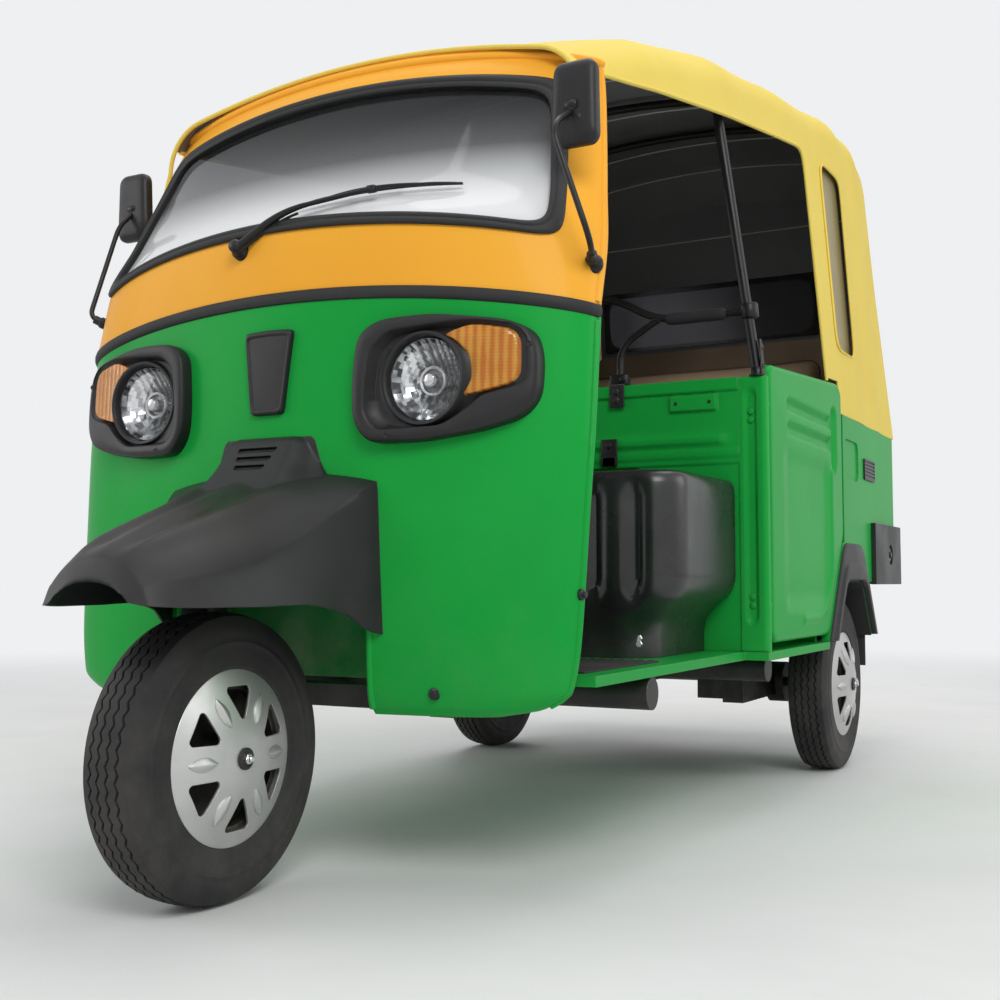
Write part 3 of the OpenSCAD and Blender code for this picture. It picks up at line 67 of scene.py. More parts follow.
view = {"place": (1.4944, -2.9955, 0.5561), "turn": 28.137, "climb": 3.743, "lens": 45.03}
studio = {"floor": (0.80, 0.80, 0.79), "floorPatch": (0.84, 0.84, 0.83), "backdrop": (0.86, 0.87, 0.88),
          "worldLight": 0.40, "size": 60.0, "fade": (2.2, 8.0),
          "lights": (  # name, place, target, size, power
              ("keyLight", (3.6, -4.6, 4.4), (0, -0.3, 0.8), (3.0, 2.4), 175),
              ("fillLight", (-4.2, -3.6, 2.6), (0, -0.6, 0.8), (3.2, 3.0), 62),
              ("topLight", (0.4, 0.4, 5.4), (0, 0.2, 0), (3.2, 4.2), 84),
              ("sideLight", (5.0, 1.6, 2.6), (0, 0.6, 0.9), (2.6, 2.6), 46),
              ("rearLight", (-2.5, 5.0, 3.2), (0, 0.6, 0.9), (3.0, 2.4), 70))}


def makeCamera():
    data = bpy.data.cameras.new("camera")
    data.lens = view["lens"]
    data.sensor_width = 36
    camera = bpy.data.objects.new("camera", data)
    scene.collection.objects.link(camera)
    turn, climb = math.radians(view["turn"]), math.radians(view["climb"])
    ahead = Vector((-math.sin(turn) * math.cos(climb), math.cos(turn) * math.cos(climb), math.sin(climb)))
    camera.location = view["place"]
    camera.rotation_euler = ahead.to_track_quat("-Z", "Y").to_euler()
    scene.camera = camera


def softLight(name, place, target, size, power):
    data = bpy.data.lights.new(name, "AREA")
    data.shape = "RECTANGLE"
    data.size, data.size_y = size
    data.energy = power
    lamp = bpy.data.objects.new(name, data)
    scene.collection.objects.link(lamp)
    lamp.location = place
    lamp.rotation_euler = (Vector(target) - Vector(place)).to_track_quat("-Z", "Y").to_euler()


def makeStudio():
    world = bpy.data.worlds.new("studio")
    scene.world = world
    world.use_nodes = True
    nodes, links = world.node_tree.nodes, world.node_tree.links
    nodes.clear()
    out = nodes.new("ShaderNodeOutputWorld")
    path = nodes.new("ShaderNodeLightPath")
    light = nodes.new("ShaderNodeBackground")
    light.inputs["Color"].default_value = (0.95, 0.97, 1.0, 1)
    light.inputs["Strength"].default_value = studio["worldLight"]
    pale = nodes.new("ShaderNodeBackground")
    pale.inputs["Color"].default_value = (*studio["backdrop"], 1)
    seen = path.outputs["Is Camera Ray"]
    for ray in ("Is Glossy Ray", "Is Transmission Ray"):
        either = nodes.new("ShaderNodeMath")
        either.operation = "MAXIMUM"
        links.new(seen, either.inputs[0])
        links.new(path.outputs[ray], either.inputs[1])
        seen = either.outputs[0]
    blend = nodes.new("ShaderNodeMixShader")
    links.new(seen, blend.inputs[0])
    links.new(light.outputs[0], blend.inputs[1])
    links.new(pale.outputs[0], blend.inputs[2])
    links.new(blend.outputs[0], out.inputs["Surface"])

    half = studio["size"] / 2
    floor = newObject("floor", [(-half, -half, 0), (half, -half, 0), (half, half, 0), (-half, half, 0)], [(0, 1, 2, 3)])
    material, shader = newFinish("paleFloor", studio["floor"], 0.75)
    tone = placeGroup(material, "fineGrain", Scale=30.0, Spread=1.5)
    patches = mixNode(material, studio["floor"], studio["floorPatch"], tone.outputs["Tone"])
    wire(material, patches, shader.inputs["Base Color"])
    tree = material.node_tree
    place = tree.nodes.new("ShaderNodeTexCoord")
    reach = tree.nodes.new("ShaderNodeVectorMath")
    reach.operation = "LENGTH"
    wire(material, place.outputs["Object"], reach.inputs[0])
    rays = tree.nodes.new("ShaderNodeLightPath")
    distance = rangeNode(tree, reach.outputs["Value"], *studio["fade"])
    away = mathNode(tree, "MULTIPLY", distance, rays.outputs["Is Camera Ray"])
    far = tree.nodes.new("ShaderNodeEmission")
    far.inputs["Color"].default_value = (*studio["backdrop"], 1)
    merge = tree.nodes.new("ShaderNodeMixShader")
    wire(material, away, merge.inputs[0])
    wire(material, shader.outputs[0], merge.inputs[1])
    wire(material, far.outputs[0], merge.inputs[2])
    wire(material, merge.outputs[0], tree.nodes["Material Output"].inputs["Surface"])
    floor.data.materials.append(material)

    for light in studio["lights"]:
        softLight(*light)


# shapes

def newObject(name, points, faces):
    mesh = bpy.data.meshes.new(name)
    mesh.from_pydata([tuple(p) for p in points], [], faces)
    mesh.update()
    piece = bpy.data.objects.new(name, mesh)
    scene.collection.objects.link(piece)
    return piece


def mixed(a, b, t):
    return a + (b - a) * t


def held(value, low=0.0, high=1.0):
    return min(max(value, low), high)


def eased(low, high, value):
    t = held((value - low) / (high - low))
    return t * t * (3 - 2 * t)


def spread(low, high, count):  # even steps with both ends
    return [mixed(low, high, k / count) for k in range(count + 1)]


def roundTurn(count):
    return [2 * math.pi * k / count for k in range(count)]


def tableCurve(rows):  # smooth curve through a table, first column is the key
    keys = [row[0] for row in rows]
    last = len(rows) - 1
    slopes = []
    for i in range(last + 1):
        slope = []
        for c in range(1, len(rows[0])):
            steps = [(rows[j + 1][c] - rows[j][c]) / (keys[j + 1] - keys[j]) for j in (max(i - 1, 0), min(i, last - 1))]
            slope.append(0 if steps[0] * steps[1] <= 0 else 2 * steps[0] * steps[1] / (steps[0] + steps[1]))
        slopes.append(slope)

    def read(key):
        i = min(max(bisect_right(keys, key) - 1, 0), last - 1)
        span = keys[i + 1] - keys[i]
        t = held((key - keys[i]) / span)
        found = []
        for c in range(len(rows[0]) - 1):
            a, b = rows[i][c + 1], rows[i + 1][c + 1]
            p, q = slopes[i][c] * span, slopes[i + 1][c] * span
            near = a * (1 + 2 * t) * (1 - t) ** 2 + p * t * (1 - t) ** 2
            found.append(near + b * t * t * (3 - 2 * t) + q * t * t * (t - 1))
        return found
    return read


def gridFaces(rows, columns, closed=False, first=0):
    span = columns if closed else columns - 1
    return [(first + r * columns + c, first + r * columns + (c + 1) % columns,
             first + (r + 1) * columns + (c + 1) % columns, first + (r + 1) * columns + c)
            for r in range(rows - 1) for c in range(span)]


def shellOf(name, outer, inner):  # two grids of points joined round their border
    rows, columns = len(outer), len(outer[0])
    count = rows * columns
    faces = gridFaces(rows, columns) + [tuple(reversed(f)) for f in gridFaces(rows, columns, False, count)]
    border = list(range(columns)) + [r * columns + columns - 1 for r in range(1, rows)]
    border += [(rows - 1) * columns + c for c in range(columns - 2, -1, -1)]
    border += [r * columns for r in range(rows - 2, 0, -1)]
    for i, a in enumerate(border):
        b = border[(i + 1) % len(border)]
        faces.append((b, a, a + count, b + count))
    return newObject(name, [p for row in outer for p in row] + [p for row in inner for p in row], faces)


def loftOf(name, loops, capped=True):  # closed loops of equal length
    count = len(loops[0])
    faces = gridFaces(len(loops), count, True)
    if capped:
        faces += [tuple(reversed(range(count))), tuple(range((len(loops) - 1) * count, len(loops) * count))]
    return newObject(name, [p for loop in loops for p in loop], faces)


def smoothPath(points, steps=8):
    points = [Vector(p) for p in points]
    path = []
    for i in range(len(points) - 1):
        a, b = points[max(i - 1, 0)], points[i]
        c, d = points[i + 1], points[min(i + 2, len(points) - 1)]
        for k in range(steps):
            t = k / steps
            bend = (2 * a - 5 * b + 4 * c - d) * t * t + (3 * b - a - 3 * c + d) * t ** 3
            path.append(0.5 * (2 * b + (c - a) * t + bend))
    return path + [points[-1]]


def bendAt(a, b, c, radius, share, steps):  # round bend at b
    back, ahead = a - b, c - b
    reach = min(radius, back.length * share, ahead.length * share)
    start, end = b + back.normalized() * reach, b + ahead.normalized() * reach
    return [start * (1 - t) ** 2 + b * 2 * t * (1 - t) + end * t * t for t in spread(0, 1, steps)]


def bentPath(points, radius, steps=6):  # straight runs with round bends
    points = [Vector(p) for p in points]
    path = [points[0]]
    for corner in zip(points, points[1:], points[2:]):
        path += bendAt(*corner, radius, 0.45, steps)
    return path + [points[-1]]


def tubeOf(name, path, radius, sides=16, radii=None):
    path = [Vector(p) for p in path]
    loops, side = [], None
    for i, p in enumerate(path):
        ahead = (path[min(i + 1, len(path) - 1)] - path[max(i - 1, 0)]).normalized()
        if side is None:
            side = ahead.orthogonal().normalized()
        side = (side - ahead * side.dot(ahead)).normalized()
        up = ahead.cross(side)
        r = radii[i] if radii else radius
        loops.append([p + (side * math.cos(a) + up * math.sin(a)) * r for a in roundTurn(sides)])
    return loftOf(name, loops)


def turnedOf(name, profile, place, direction, sides=48, capped=True):  # profile of (along, radius) about a line
    turn = Vector(direction).to_track_quat("Z", "Y")
    loops = [[Vector(place) + turn @ Vector((r * math.cos(a), r * math.sin(a), z))
              for a in roundTurn(sides)] for z, r in profile]
    return loftOf(name, loops, capped)


turnedParts = {  # along and radius of each profile in mm
    "cowlBolt": "-2 11, 3 11, 4.5 9, 4.5 6, 9 6, 10 5",
    "bezelScrew": "-3 5.2, 0.5 5.2, 1.2 4.4, 0.4 3, -1 2.4",
    "lampBoot": "-87 0.4, -86 15, -72 18, -70 25, -62 27, -61.5 36, -60 40, -57.5 40",
    "bulbCap": "-50 16, -34 16, -32 13, -14 12.5, -10 11, -8 6, -7.5 0.5",
    "bulbShield": "-36 0.5, -36 25.5, -31 25.5, -31 16.5",
    "bulbRing": "-30 26, -26 27.5, -22 26, -24 22, -30 22, -30 26",
    "turnBulb": "3.5 0, 3.5 12, 6 12, 8 8.5, 11 9, 12.5 6, 13 0",
    "collar": "-2 19, 3.4 19, 4.6 17.5, 4.6 13, 3 12, 3 0.4",
    "nut": "3 9.5, 9 9.5, 10 8.5, 10 6",
    "stud": "9.5 5.5, 15 5.5, 16.5 4.2, 16.5 0.4",
    "poleSocket": "0.3 19, 4 19, 6 16, 20 15.5, 22 13",
    "clampBolt": "0 8, 6 8, 7 6",
    "poleClamp": "-18 0, -18 19, -15 21, 15 21, 18 19, 18 0",
    "boxBolt": "-4 0, -4 9, 3 9, 5 7, 5 0",
    "bracketHole": "0 0, 0 4.5, 1.2 4.5, 1.2 0",
    "postBolt": "0 0, 0 7.5, 3 7.5, 4.5 5, 4.5 0",
    "clipBolt": "0 0, 0 7, 5 7, 6 5, 6 0",
    "rodFoot": "0 0, 0 19, 6 19, 10 15, 12 10, 40 9.5, 41 0",
    "rodNut": "14 0, 14 12.5, 16 13.5, 24 13.5, 26 12.5, 26 0",
    "headBoss": "-12 0, -12 9, -10 11, 10 11, 12 9, 12 0",
    "headScrew": "0 0, 0 5, 3 4.5, 4 3, 4 0",
    "wiperBoss": "-10 0, -10 19, 6 18, 12 14, 24 12.5, 28 9, 29 0",
    "barHead": "0 0, 0 30, 3 33.5, 40 33.5, 56 29, 64 18, 66 0",
    "bumperKnob": "0 0, 0 22, 2 24, 4 22, 4 11, 8 10.5, 9 8, 9 0",
    "bracketBolt": "-4 0, -4 6, 3 6, 4 4.5, 4 0",
    "strapBolt": "0 0, 0 7.5, 5 7.5, 6 6, 6 0",
    "gaugeRing": "0.3 0, 0.3 39, 4 39, 6 37, 6 33, 2 31, 2 0",
}


def turnedPart(name, place, direction, sides, capped=True):
    profile = [[float(v) / 1000 for v in pair.split()] for pair in turnedParts[name].split(",")]
    return turnedOf(name, profile, place, direction, sides, capped)


def softBlock(name, size, place, edge, turn=None, segments=3):
    block = newObject(name, [], [])
    build = bmesh.new()
    bmesh.ops.create_cube(build, size=1)
    bmesh.ops.scale(build, vec=size, verts=build.verts)
    bmesh.ops.bevel(build, geom=build.edges[:], offset=edge, segments=segments, profile=0.5, affect="EDGES")
    spin = turn or Matrix.Identity(3)
    bmesh.ops.transform(build, matrix=Matrix.Translation(place) @ spin.to_4x4(), verts=build.verts)
    build.to_mesh(block.data)
    build.free()
    return block


def roundedOutline(points, corner, steps=8):  # flat outline with round corners
    points = [Vector(p) for p in points]
    path = []
    for i, b in enumerate(points):
        path += bendAt(points[i - 1], b, points[(i + 1) % len(points)], corner, 0.49, steps)
    return path


def evenly(path, count, closed=True):  # the same outline in equal steps
    path = [Vector(p) for p in path]
    if closed:
        path.append(path[0])
    lengths = [0.0]
    for a, b in zip(path, path[1:]):
        lengths.append(lengths[-1] + (b - a).length)
    even = []
    for k in range(count):
        want = lengths[-1] * k / (count if closed else count - 1)
        i = min(max(bisect_right(lengths, want) - 1, 0), len(path) - 2)
        gap = lengths[i + 1] - lengths[i] or 1
        even.append(path[i].lerp(path[i + 1], (want - lengths[i]) / gap))
    return even


def prismOf(name, outline, near, far, axis="Y"):  # outline in (x, z) along Y, or in (setback, z) along X
    def put(p, along):
        return at(p[0], along, p[1]) if axis == "Y" else at(along, p[0], p[1])
    return loftOf(name, [[put(p, near) for p in outline], [put(p, far) for p in outline]])


def mergedOf(name, parts):
    points, faces, finishes, marks = [], [], [], []
    for part in parts:
        first = len(points)
        points += [part.matrix_world @ v.co for v in part.data.vertices]
        slots = []
        for material in part.data.materials:
            if material not in finishes:
                finishes.append(material)
            slots.append(finishes.index(material))
        for face in part.data.polygons:
            faces.append(tuple(first + i for i in face.vertices))
            marks.append((slots[face.material_index] if slots else 0, face.use_smooth))
        bpy.data.objects.remove(part)
    whole = newObject(name, points, faces)
    for material in finishes:
        whole.data.materials.append(material)
    for face, (slot, smooth) in zip(whole.data.polygons, marks):
        face.material_index, face.use_smooth = slot, smooth
    return whole


def mirroredOf(name, part):
    copy = newObject(name, [(-v.co.x, v.co.y, v.co.z) for v in part.data.vertices],
                     [tuple(reversed(f.vertices)) for f in part.data.polygons])
    for material in part.data.materials:
        copy.data.materials.append(material)
    for new, old in zip(copy.data.polygons, part.data.polygons):
        new.material_index = old.material_index
    return copy


def applied(piece):
    bpy.context.view_layer.update()
    mesh = bpy.data.meshes.new_from_object(piece.evaluated_get(bpy.context.evaluated_depsgraph_get()))
    piece.modifiers.clear()
    old = piece.data
    piece.data = mesh
    bpy.data.meshes.remove(old)
    return piece


def cutBy(piece, cutters, operation="DIFFERENCE"):
    for cutter in cutters:
        faceOut(cutter)
        cut = piece.modifiers.new("cut", "BOOLEAN")
        cut.operation = operation
        cut.solver = "EXACT"
        cut.object = cutter
    applied(piece)
    for cutter in cutters:
        bpy.data.objects.remove(cutter)
    return piece


def faceOut(piece):
    build = bmesh.new()
    build.from_mesh(piece.data)
    bmesh.ops.remove_doubles(build, verts=build.verts, dist=1e-6)
    bmesh.ops.recalc_face_normals(build, faces=build.faces)
    build.to_mesh(piece.data)
    build.free()
    return piece


def smoothed(piece, angle=40):
    faceOut(piece)
    piece.data.shade_smooth()
    piece.data.set_sharp_from_angle(angle=math.radians(angle))
    return piece


def placed(piece, body, slot, *nodes):
    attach(piece, body)
    if nodes:
        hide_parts(*nodes)
    return piece


def finished(piece, look, slot, *nodes, body="body", angle=40):
    if look:
        piece.data.materials.clear()
        piece.data.materials.append(finish[look])
    return placed(smoothed(piece, angle), body, slot, *nodes)


def joined(name, parts, look, slot, *nodes, body="body", angle=40):
    return finished(mergedOf(name, parts), look, slot, *nodes, body=body, angle=angle)


def bothSides(*parts):
    return [*parts, *(mirroredOf(part.name + "Right", part) for part in parts)]


# shader groups

groups = {}


def newGroup(name, inputs, outputs):
    tree = bpy.data.node_groups.new(name, "ShaderNodeTree")
    for label, value in inputs:
        kind = "NodeSocketVector" if value is None else "NodeSocketFloat"
        socket = tree.interface.new_socket(name=label, in_out="INPUT", socket_type=kind)
        if value is not None:
            socket.default_value = value
    for label in outputs:
        tree.interface.new_socket(name=label, in_out="OUTPUT", socket_type="NodeSocketFloat")
    groups[name] = tree
    return tree, tree.nodes.new("NodeGroupInput"), tree.nodes.new("NodeGroupOutput")


def mathNode(tree, operation, a, b=0.0, clamp=False):
    node = tree.nodes.new("ShaderNodeMath")
    node.operation = operation
    node.use_clamp = clamp
    for socket, value in zip(node.inputs, (a, b)):
        if isinstance(value, (int, float)):
            socket.default_value = value
        else:
            tree.links.new(value, socket)
    return node.outputs[0]


def rangeNode(tree, value, low, high, toLow=0.0, toHigh=1.0):
    node = tree.nodes.new("ShaderNodeMapRange")
    node.interpolation_type = "SMOOTHSTEP"
    tree.links.new(value, node.inputs["Value"])
    for label, number in (("From Min", low), ("From Max", high), ("To Min", toLow), ("To Max", toHigh)):
        if isinstance(number, (int, float)):
            node.inputs[label].default_value = number
        else:
            tree.links.new(number, node.inputs[label])
    return node.outputs["Result"]


def noiseNode(tree, scale, detail=3.0, roughness=0.5):
    place = tree.nodes.new("ShaderNodeTexCoord")
    cloud = tree.nodes.new("ShaderNodeTexNoise")
    cloud.inputs["Detail"].default_value = detail
    cloud.inputs["Roughness"].default_value = roughness
    tree.links.new(place.outputs["Object"], cloud.inputs["Vector"])
    if isinstance(scale, (int, float)):
        cloud.inputs["Scale"].default_value = scale
    else:
        tree.links.new(scale, cloud.inputs["Scale"])
    return cloud.outputs["Fac"]


def objectAxes(tree):
    place = tree.nodes.new("ShaderNodeTexCoord")
    apart = tree.nodes.new("ShaderNodeSeparateXYZ")
    tree.links.new(place.outputs["Object"], apart.inputs[0])
    return apart.outputs


def buildGroups():
    tree, start, end = newGroup("fineGrain", [("Scale", 300.0), ("Spread", 2.0)], ["Height", "Tone"])
    tree.links.new(noiseNode(tree, start.outputs["Scale"], 2.0), end.inputs["Height"])
    tree.links.new(rangeNode(tree, noiseNode(tree, start.outputs["Spread"], 4.0, 0.6), 0.32, 0.68), end.inputs["Tone"])

    # paler colour where the rounded normal leans off the face, broken up by noise: rubbed edges and a painted edge
    # highlight
    tree, start, end = newGroup("edgeWearAndHighlight", [("Rounded", None), ("Full", 0.12), ("Breaks", 40.0)], ["Mask"])
    surface = tree.nodes.new("ShaderNodeNewGeometry")
    facing = tree.nodes.new("ShaderNodeVectorMath")  # how far the rounded normal leans off the face
    facing.operation = "DOT_PRODUCT"
    tree.links.new(start.outputs["Rounded"], facing.inputs[0])
    tree.links.new(surface.outputs["Normal"], facing.inputs[1])
    edge = rangeNode(tree, mathNode(tree, "SUBTRACT", 1.0, facing.outputs["Value"]), 0.01, start.outputs["Full"])
    breaks = rangeNode(tree, noiseNode(tree, start.outputs["Breaks"], 4.0, 0.65), 0.36, 0.60)
    tree.links.new(mathNode(tree, "MULTIPLY", edge, breaks), end.inputs["Mask"])

    # rib heights for the bump, and a Tone for colour that follows the ribs plus random blotches: painted shade and
    # highlight on the ribs
    tree, start, end = newGroup("lensRibsAndShade", [("Pitch", 0.012)], ["Height", "Tone"])
    apart = objectAxes(tree)
    turn = mathNode(tree, "DIVIDE", 6.2832, start.outputs["Pitch"])
    bars = mathNode(tree, "SINE", mathNode(tree, "MULTIPLY", apart["X"], turn))
    fine = mathNode(tree, "SINE", mathNode(tree, "MULTIPLY", apart["Z"], mathNode(tree, "MULTIPLY", turn, 2.6)))
    both = mathNode(tree, "ADD", bars, mathNode(tree, "MULTIPLY", fine, 0.35))
    tree.links.new(both, end.inputs["Height"])
    blotch = mathNode(tree, "MULTIPLY", noiseNode(tree, 34.0, 3.0), 2.4)
    tree.links.new(rangeNode(tree, mathNode(tree, "ADD", both, blotch), 0.2, 2.3), end.inputs["Tone"])

    tree, start, end = newGroup("roadDust", [("Low", 0.05), ("High", 0.75), ("Amount", 0.3)], ["Mask"])
    apart = objectAxes(tree)
    low = rangeNode(tree, apart["Z"], start.outputs["Low"], start.outputs["High"], 1.0, 0.0)
    cloud = rangeNode(tree, noiseNode(tree, 9.0, 6.0, 0.65), 0.3, 0.75)
    dust = mathNode(tree, "MULTIPLY", low, cloud)
    tree.links.new(mathNode(tree, "MULTIPLY", dust, start.outputs["Amount"], True), end.inputs["Mask"])

    tree, start, end = newGroup("clothWeave", [("Threads", 900.0)], ["Height", "Tone"])
    apart = objectAxes(tree)
    across = mathNode(tree, "ADD", apart["X"], apart["Z"])
    warp = mathNode(tree, "SINE", mathNode(tree, "MULTIPLY", across, start.outputs["Threads"]))
    weft = mathNode(tree, "SINE", mathNode(tree, "MULTIPLY", apart["Y"], start.outputs["Threads"]))
    cross = mathNode(tree, "MULTIPLY", warp, weft)
    tree.links.new(mathNode(tree, "MULTIPLY_ADD", cross, 0.5), end.inputs["Height"])
    tree.links.new(rangeNode(tree, noiseNode(tree, 2.6, 5.0, 0.6), 0.3, 0.7), end.inputs["Tone"])

    tree, start, end = newGroup("hideGrain", [("Scale", 260.0)], ["Height", "Tone"])
    place = tree.nodes.new("ShaderNodeTexCoord")
    cells = tree.nodes.new("ShaderNodeTexVoronoi")
    tree.links.new(place.outputs["Object"], cells.inputs["Vector"])
    tree.links.new(start.outputs["Scale"], cells.inputs["Scale"])
    tree.links.new(rangeNode(tree, cells.outputs["Distance"], 0.0, 0.7), end.inputs["Height"])
    tree.links.new(rangeNode(tree, noiseNode(tree, 5.0, 5.0, 0.6), 0.3, 0.7), end.inputs["Tone"])


# finishes

sockets = {"coat": "Coat Weight", "coatRoughness": "Coat Roughness", "specular": "Specular IOR Level", "ior": "IOR",
           "sheen": "Sheen Weight", "sheenRoughness": "Sheen Roughness", "through": "Transmission Weight"}


def newFinish(name, colour, roughness, metallic=0.0):
    material = bpy.data.materials.new(name)
    material.use_nodes = True
    shader = material.node_tree.nodes["Principled BSDF"]
    shader.inputs["Base Color"].default_value = (*colour, 1)
    shader.inputs["Roughness"].default_value = roughness
    shader.inputs["Metallic"].default_value = metallic
    return material, shader


def wire(material, fromSocket, toSocket):
    material.node_tree.links.new(fromSocket, toSocket)


def placeGroup(material, name, **values):
    node = material.node_tree.nodes.new("ShaderNodeGroup")
    node.node_tree = groups[name]
    for label, value in values.items():
        node.inputs[label].default_value = value
    return node


def mixNode(material, a, b, share):  # two colours or sockets mixed by a socket
    node = material.node_tree.nodes.new("ShaderNodeMix")
    node.data_type = "RGBA"
    for value, place in ((a, node.inputs[6]), (b, node.inputs[7])):
        if isinstance(value, tuple):
            place.default_value = (*value, 1)
        else:
            wire(material, value, place)
    wire(material, share, node.inputs[0])
    return node.outputs[2]


def bumpInto(material, shader, height, strength, distance, under=None):
    node = material.node_tree.nodes.new("ShaderNodeBump")
    node.inputs["Strength"].default_value = strength
    node.inputs["Distance"].default_value = distance
    wire(material, height, node.inputs["Height"])
    if under is not None:
        wire(material, under, node.inputs["Normal"])
    wire(material, node.outputs["Normal"], shader.inputs["Normal"])
    return node.outputs["Normal"]


def roughen(material, shader, value, low, high, toLow, toHigh):
    wire(material, rangeNode(material.node_tree, value, low, high, toLow, toHigh), shader.inputs["Roughness"])


def roundNormal(material, radius):
    node = material.node_tree.nodes.new("ShaderNodeBevel")
    node.samples = 4
    node.inputs["Radius"].default_value = radius
    return node.outputs["Normal"]


def wornAndHighlitLayer(material, under, rounded, scuffAndHighlight, full=0.12, breaks=40.0):  # rubbed edges over a colour, lighter where the surface rounds off: wear and a painted edge highlight
    wornAndHighlit = placeGroup(material, "edgeWearAndHighlight", Full=full, Breaks=breaks)
    wire(material, rounded, wornAndHighlit.inputs["Rounded"])
    return mixNode(material, under, scuffAndHighlight, wornAndHighlit.outputs["Mask"])


def layered(material, shader, tones, scuffAndHighlight, edge, grain, soil, soilTone, wornAndHighlit=()):  # grain, rubbed edges with a painted edge highlight, road dust
    rounded = roundNormal(material, edge)
    speckle = placeGroup(material, "fineGrain", Scale=grain[0], Spread=grain[1])
    toned = mixNode(material, *tones, speckle.outputs["Tone"])
    dust = placeGroup(material, "roadDust", Low=soil[0], High=soil[1], Amount=soil[2])
    rubbedAndHighlit = wornAndHighlitLayer(material, toned, rounded, scuffAndHighlight, *wornAndHighlit)
    wire(material, mixNode(material, rubbedAndHighlit, soilTone, dust.outputs["Mask"]), shader.inputs["Base Color"])
    return speckle, dust.outputs["Mask"], rounded


def settle(shader, **values):  # plain values on the shader's own sockets, named in camelCase
    for label, value in values.items():
        shader.inputs[sockets[label]].default_value = value


def paintFinish(name, colour, shade, dust=0.06, coat=0.04, roughness=0.34, edge=0.004):
    material, shader = newFinish(name, colour, roughness)
    settle(shader, coat=coat, coatRoughness=0.12, specular=0.06)
    scuffAndHighlight = tuple(mixed(c, 0.42, 0.22) for c in colour)
    grain, soil, rounded = layered(material, shader, (colour, shade), scuffAndHighlight, edge, (520.0, 1.6),
                                   (0.1, 0.9, dust), (0.30, 0.27, 0.21))
    roughen(material, shader, soil, 0.0, 0.5, roughness, 0.75)
    bumpInto(material, shader, grain.outputs["Height"], 0.04, 0.0006, rounded)
    return material


def plasticFinish(name, colour, roughness=0.5, grain=700.0, depth=0.25, dust=0.12, edge=0.003, gloss=0.30):
    material, shader = newFinish(name, colour, roughness)
    settle(shader, specular=gloss)
    paler = tuple(min(c * 1.35 + 0.006, 1) for c in colour)
    scuffAndHighlight = tuple(c * 1.6 + 0.028 for c in colour)
    speckle, _, rounded = layered(material, shader, (colour, paler), scuffAndHighlight, edge, (grain, 3.0),
                                  (0.05, 0.8, dust), (0.20, 0.18, 0.15), (0.16, 70.0))
    roughen(material, shader, speckle.outputs["Tone"], 0, 1, roughness - 0.06, roughness + 0.08)
    bumpInto(material, shader, speckle.outputs["Height"], depth, 0.0008, rounded)
    return material


def metalFinish(name, colour, roughness, metallic=1.0, wear=0.0, edge=0.002):
    material, shader = newFinish(name, colour, roughness, metallic)
    dull = tuple(c * 0.82 for c in colour)
    scuffAndHighlight = tuple(mixed(c, 0.75, 0.3) for c in colour)
    grain, _, rounded = layered(material, shader, (colour, dull), scuffAndHighlight, edge, (380.0, 5.0),
                                (0.02, 0.5, wear), (0.22, 0.19, 0.15), (0.14, 90.0))
    roughen(material, shader, grain.outputs["Tone"], 0, 1, roughness, roughness + 0.1)
    bumpInto(material, shader, grain.outputs["Height"], 0.06, 0.0005, rounded)
    return material


def clothFinish(name, colour, shade, threads, roughness=0.62, depth=0.35):
    material, shader = newFinish(name, colour, roughness)
    weave = placeGroup(material, "clothWeave", Threads=threads)
    wire(material, mixNode(material, colour, shade, weave.outputs["Tone"]), shader.inputs["Base Color"])
    settle(shader, sheen=0.04, sheenRoughness=0.5, specular=0.16)
    bumpInto(material, shader, weave.outputs["Height"], depth, 0.0004)
    return material


def hideFinish(name, colour, shade, roughness=0.48):
    material, shader = newFinish(name, colour, roughness)
    grain = placeGroup(material, "hideGrain", Scale=420.0)
    wire(material, mixNode(material, colour, shade, grain.outputs["Tone"]), shader.inputs["Base Color"])
    roughen(material, shader, grain.outputs["Tone"], 0, 1, roughness - 0.06, roughness + 0.08)
    bumpInto(material, shader, grain.outputs["Height"], 0.3, 0.0007)
    return material


def glassFinish(name, colour, roughness, through=1.0, haze=0.04, gloss=0.5):
    material, shader = newFinish(name, colour, roughness)
    settle(shader, specular=gloss, through=through, ior=1.46)
    grain = placeGroup(material, "fineGrain", Scale=60.0, Spread=6.0)
    roughen(material, shader, grain.outputs["Tone"], 0, 1, roughness, roughness + haze)
    return material


def ribbedFinish(name, colour, deep, pitch, through):  # moulded lens with upright ribs; its colour swings between the deep and pale tints with the ribs, painted shade and highlight on the ribs
    material, shader = newFinish(name, colour, 0.07)
    settle(shader, through=through, ior=1.46)
    ribs = placeGroup(material, "lensRibsAndShade", Pitch=pitch)
    wire(material, mixNode(material, deep, colour, ribs.outputs["Tone"]), shader.inputs["Base Color"])
    bumpInto(material, shader, ribs.outputs["Height"], 0.22, 0.0010)
    return material


def paintedLightScreenFinish():
    # painted reflection and painted shade: the glass colour runs from near white at the bottom, standing in for the
    # pale floor mirrored there, to near black at the top, standing in for the dark cab seen through it
    low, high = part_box("windscreen")
    material, shader = newFinish("screenGlass", (0.8, 0.82, 0.84), 0.05)
    tree = material.node_tree
    apart = objectAxes(tree)
    climb = rangeNode(tree, apart["Z"], low[2] + 0.02, high[2] - 0.04)
    paintedLightRamp = tree.nodes.new("ShaderNodeValToRGB")
    stops = paintedLightRamp.color_ramp.elements
    stops[0].position, stops[0].color = 0.0, (0.88, 0.89, 0.90, 1)
    stops[1].position, stops[1].color = 1.0, (0.018, 0.019, 0.020, 1)
    stops.new(0.30).color = (0.52, 0.53, 0.54, 1)
    stops.new(0.62).color = (0.12, 0.122, 0.125, 1)
    wire(material, climb, paintedLightRamp.inputs[0])
    wire(material, paintedLightRamp.outputs[0], shader.inputs["Base Color"])
    wire(material, rangeNode(tree, apart["Z"], low[2], high[2], 0.86, 0.72), shader.inputs["Alpha"])
    settle(shader, specular=0.3)
    return material


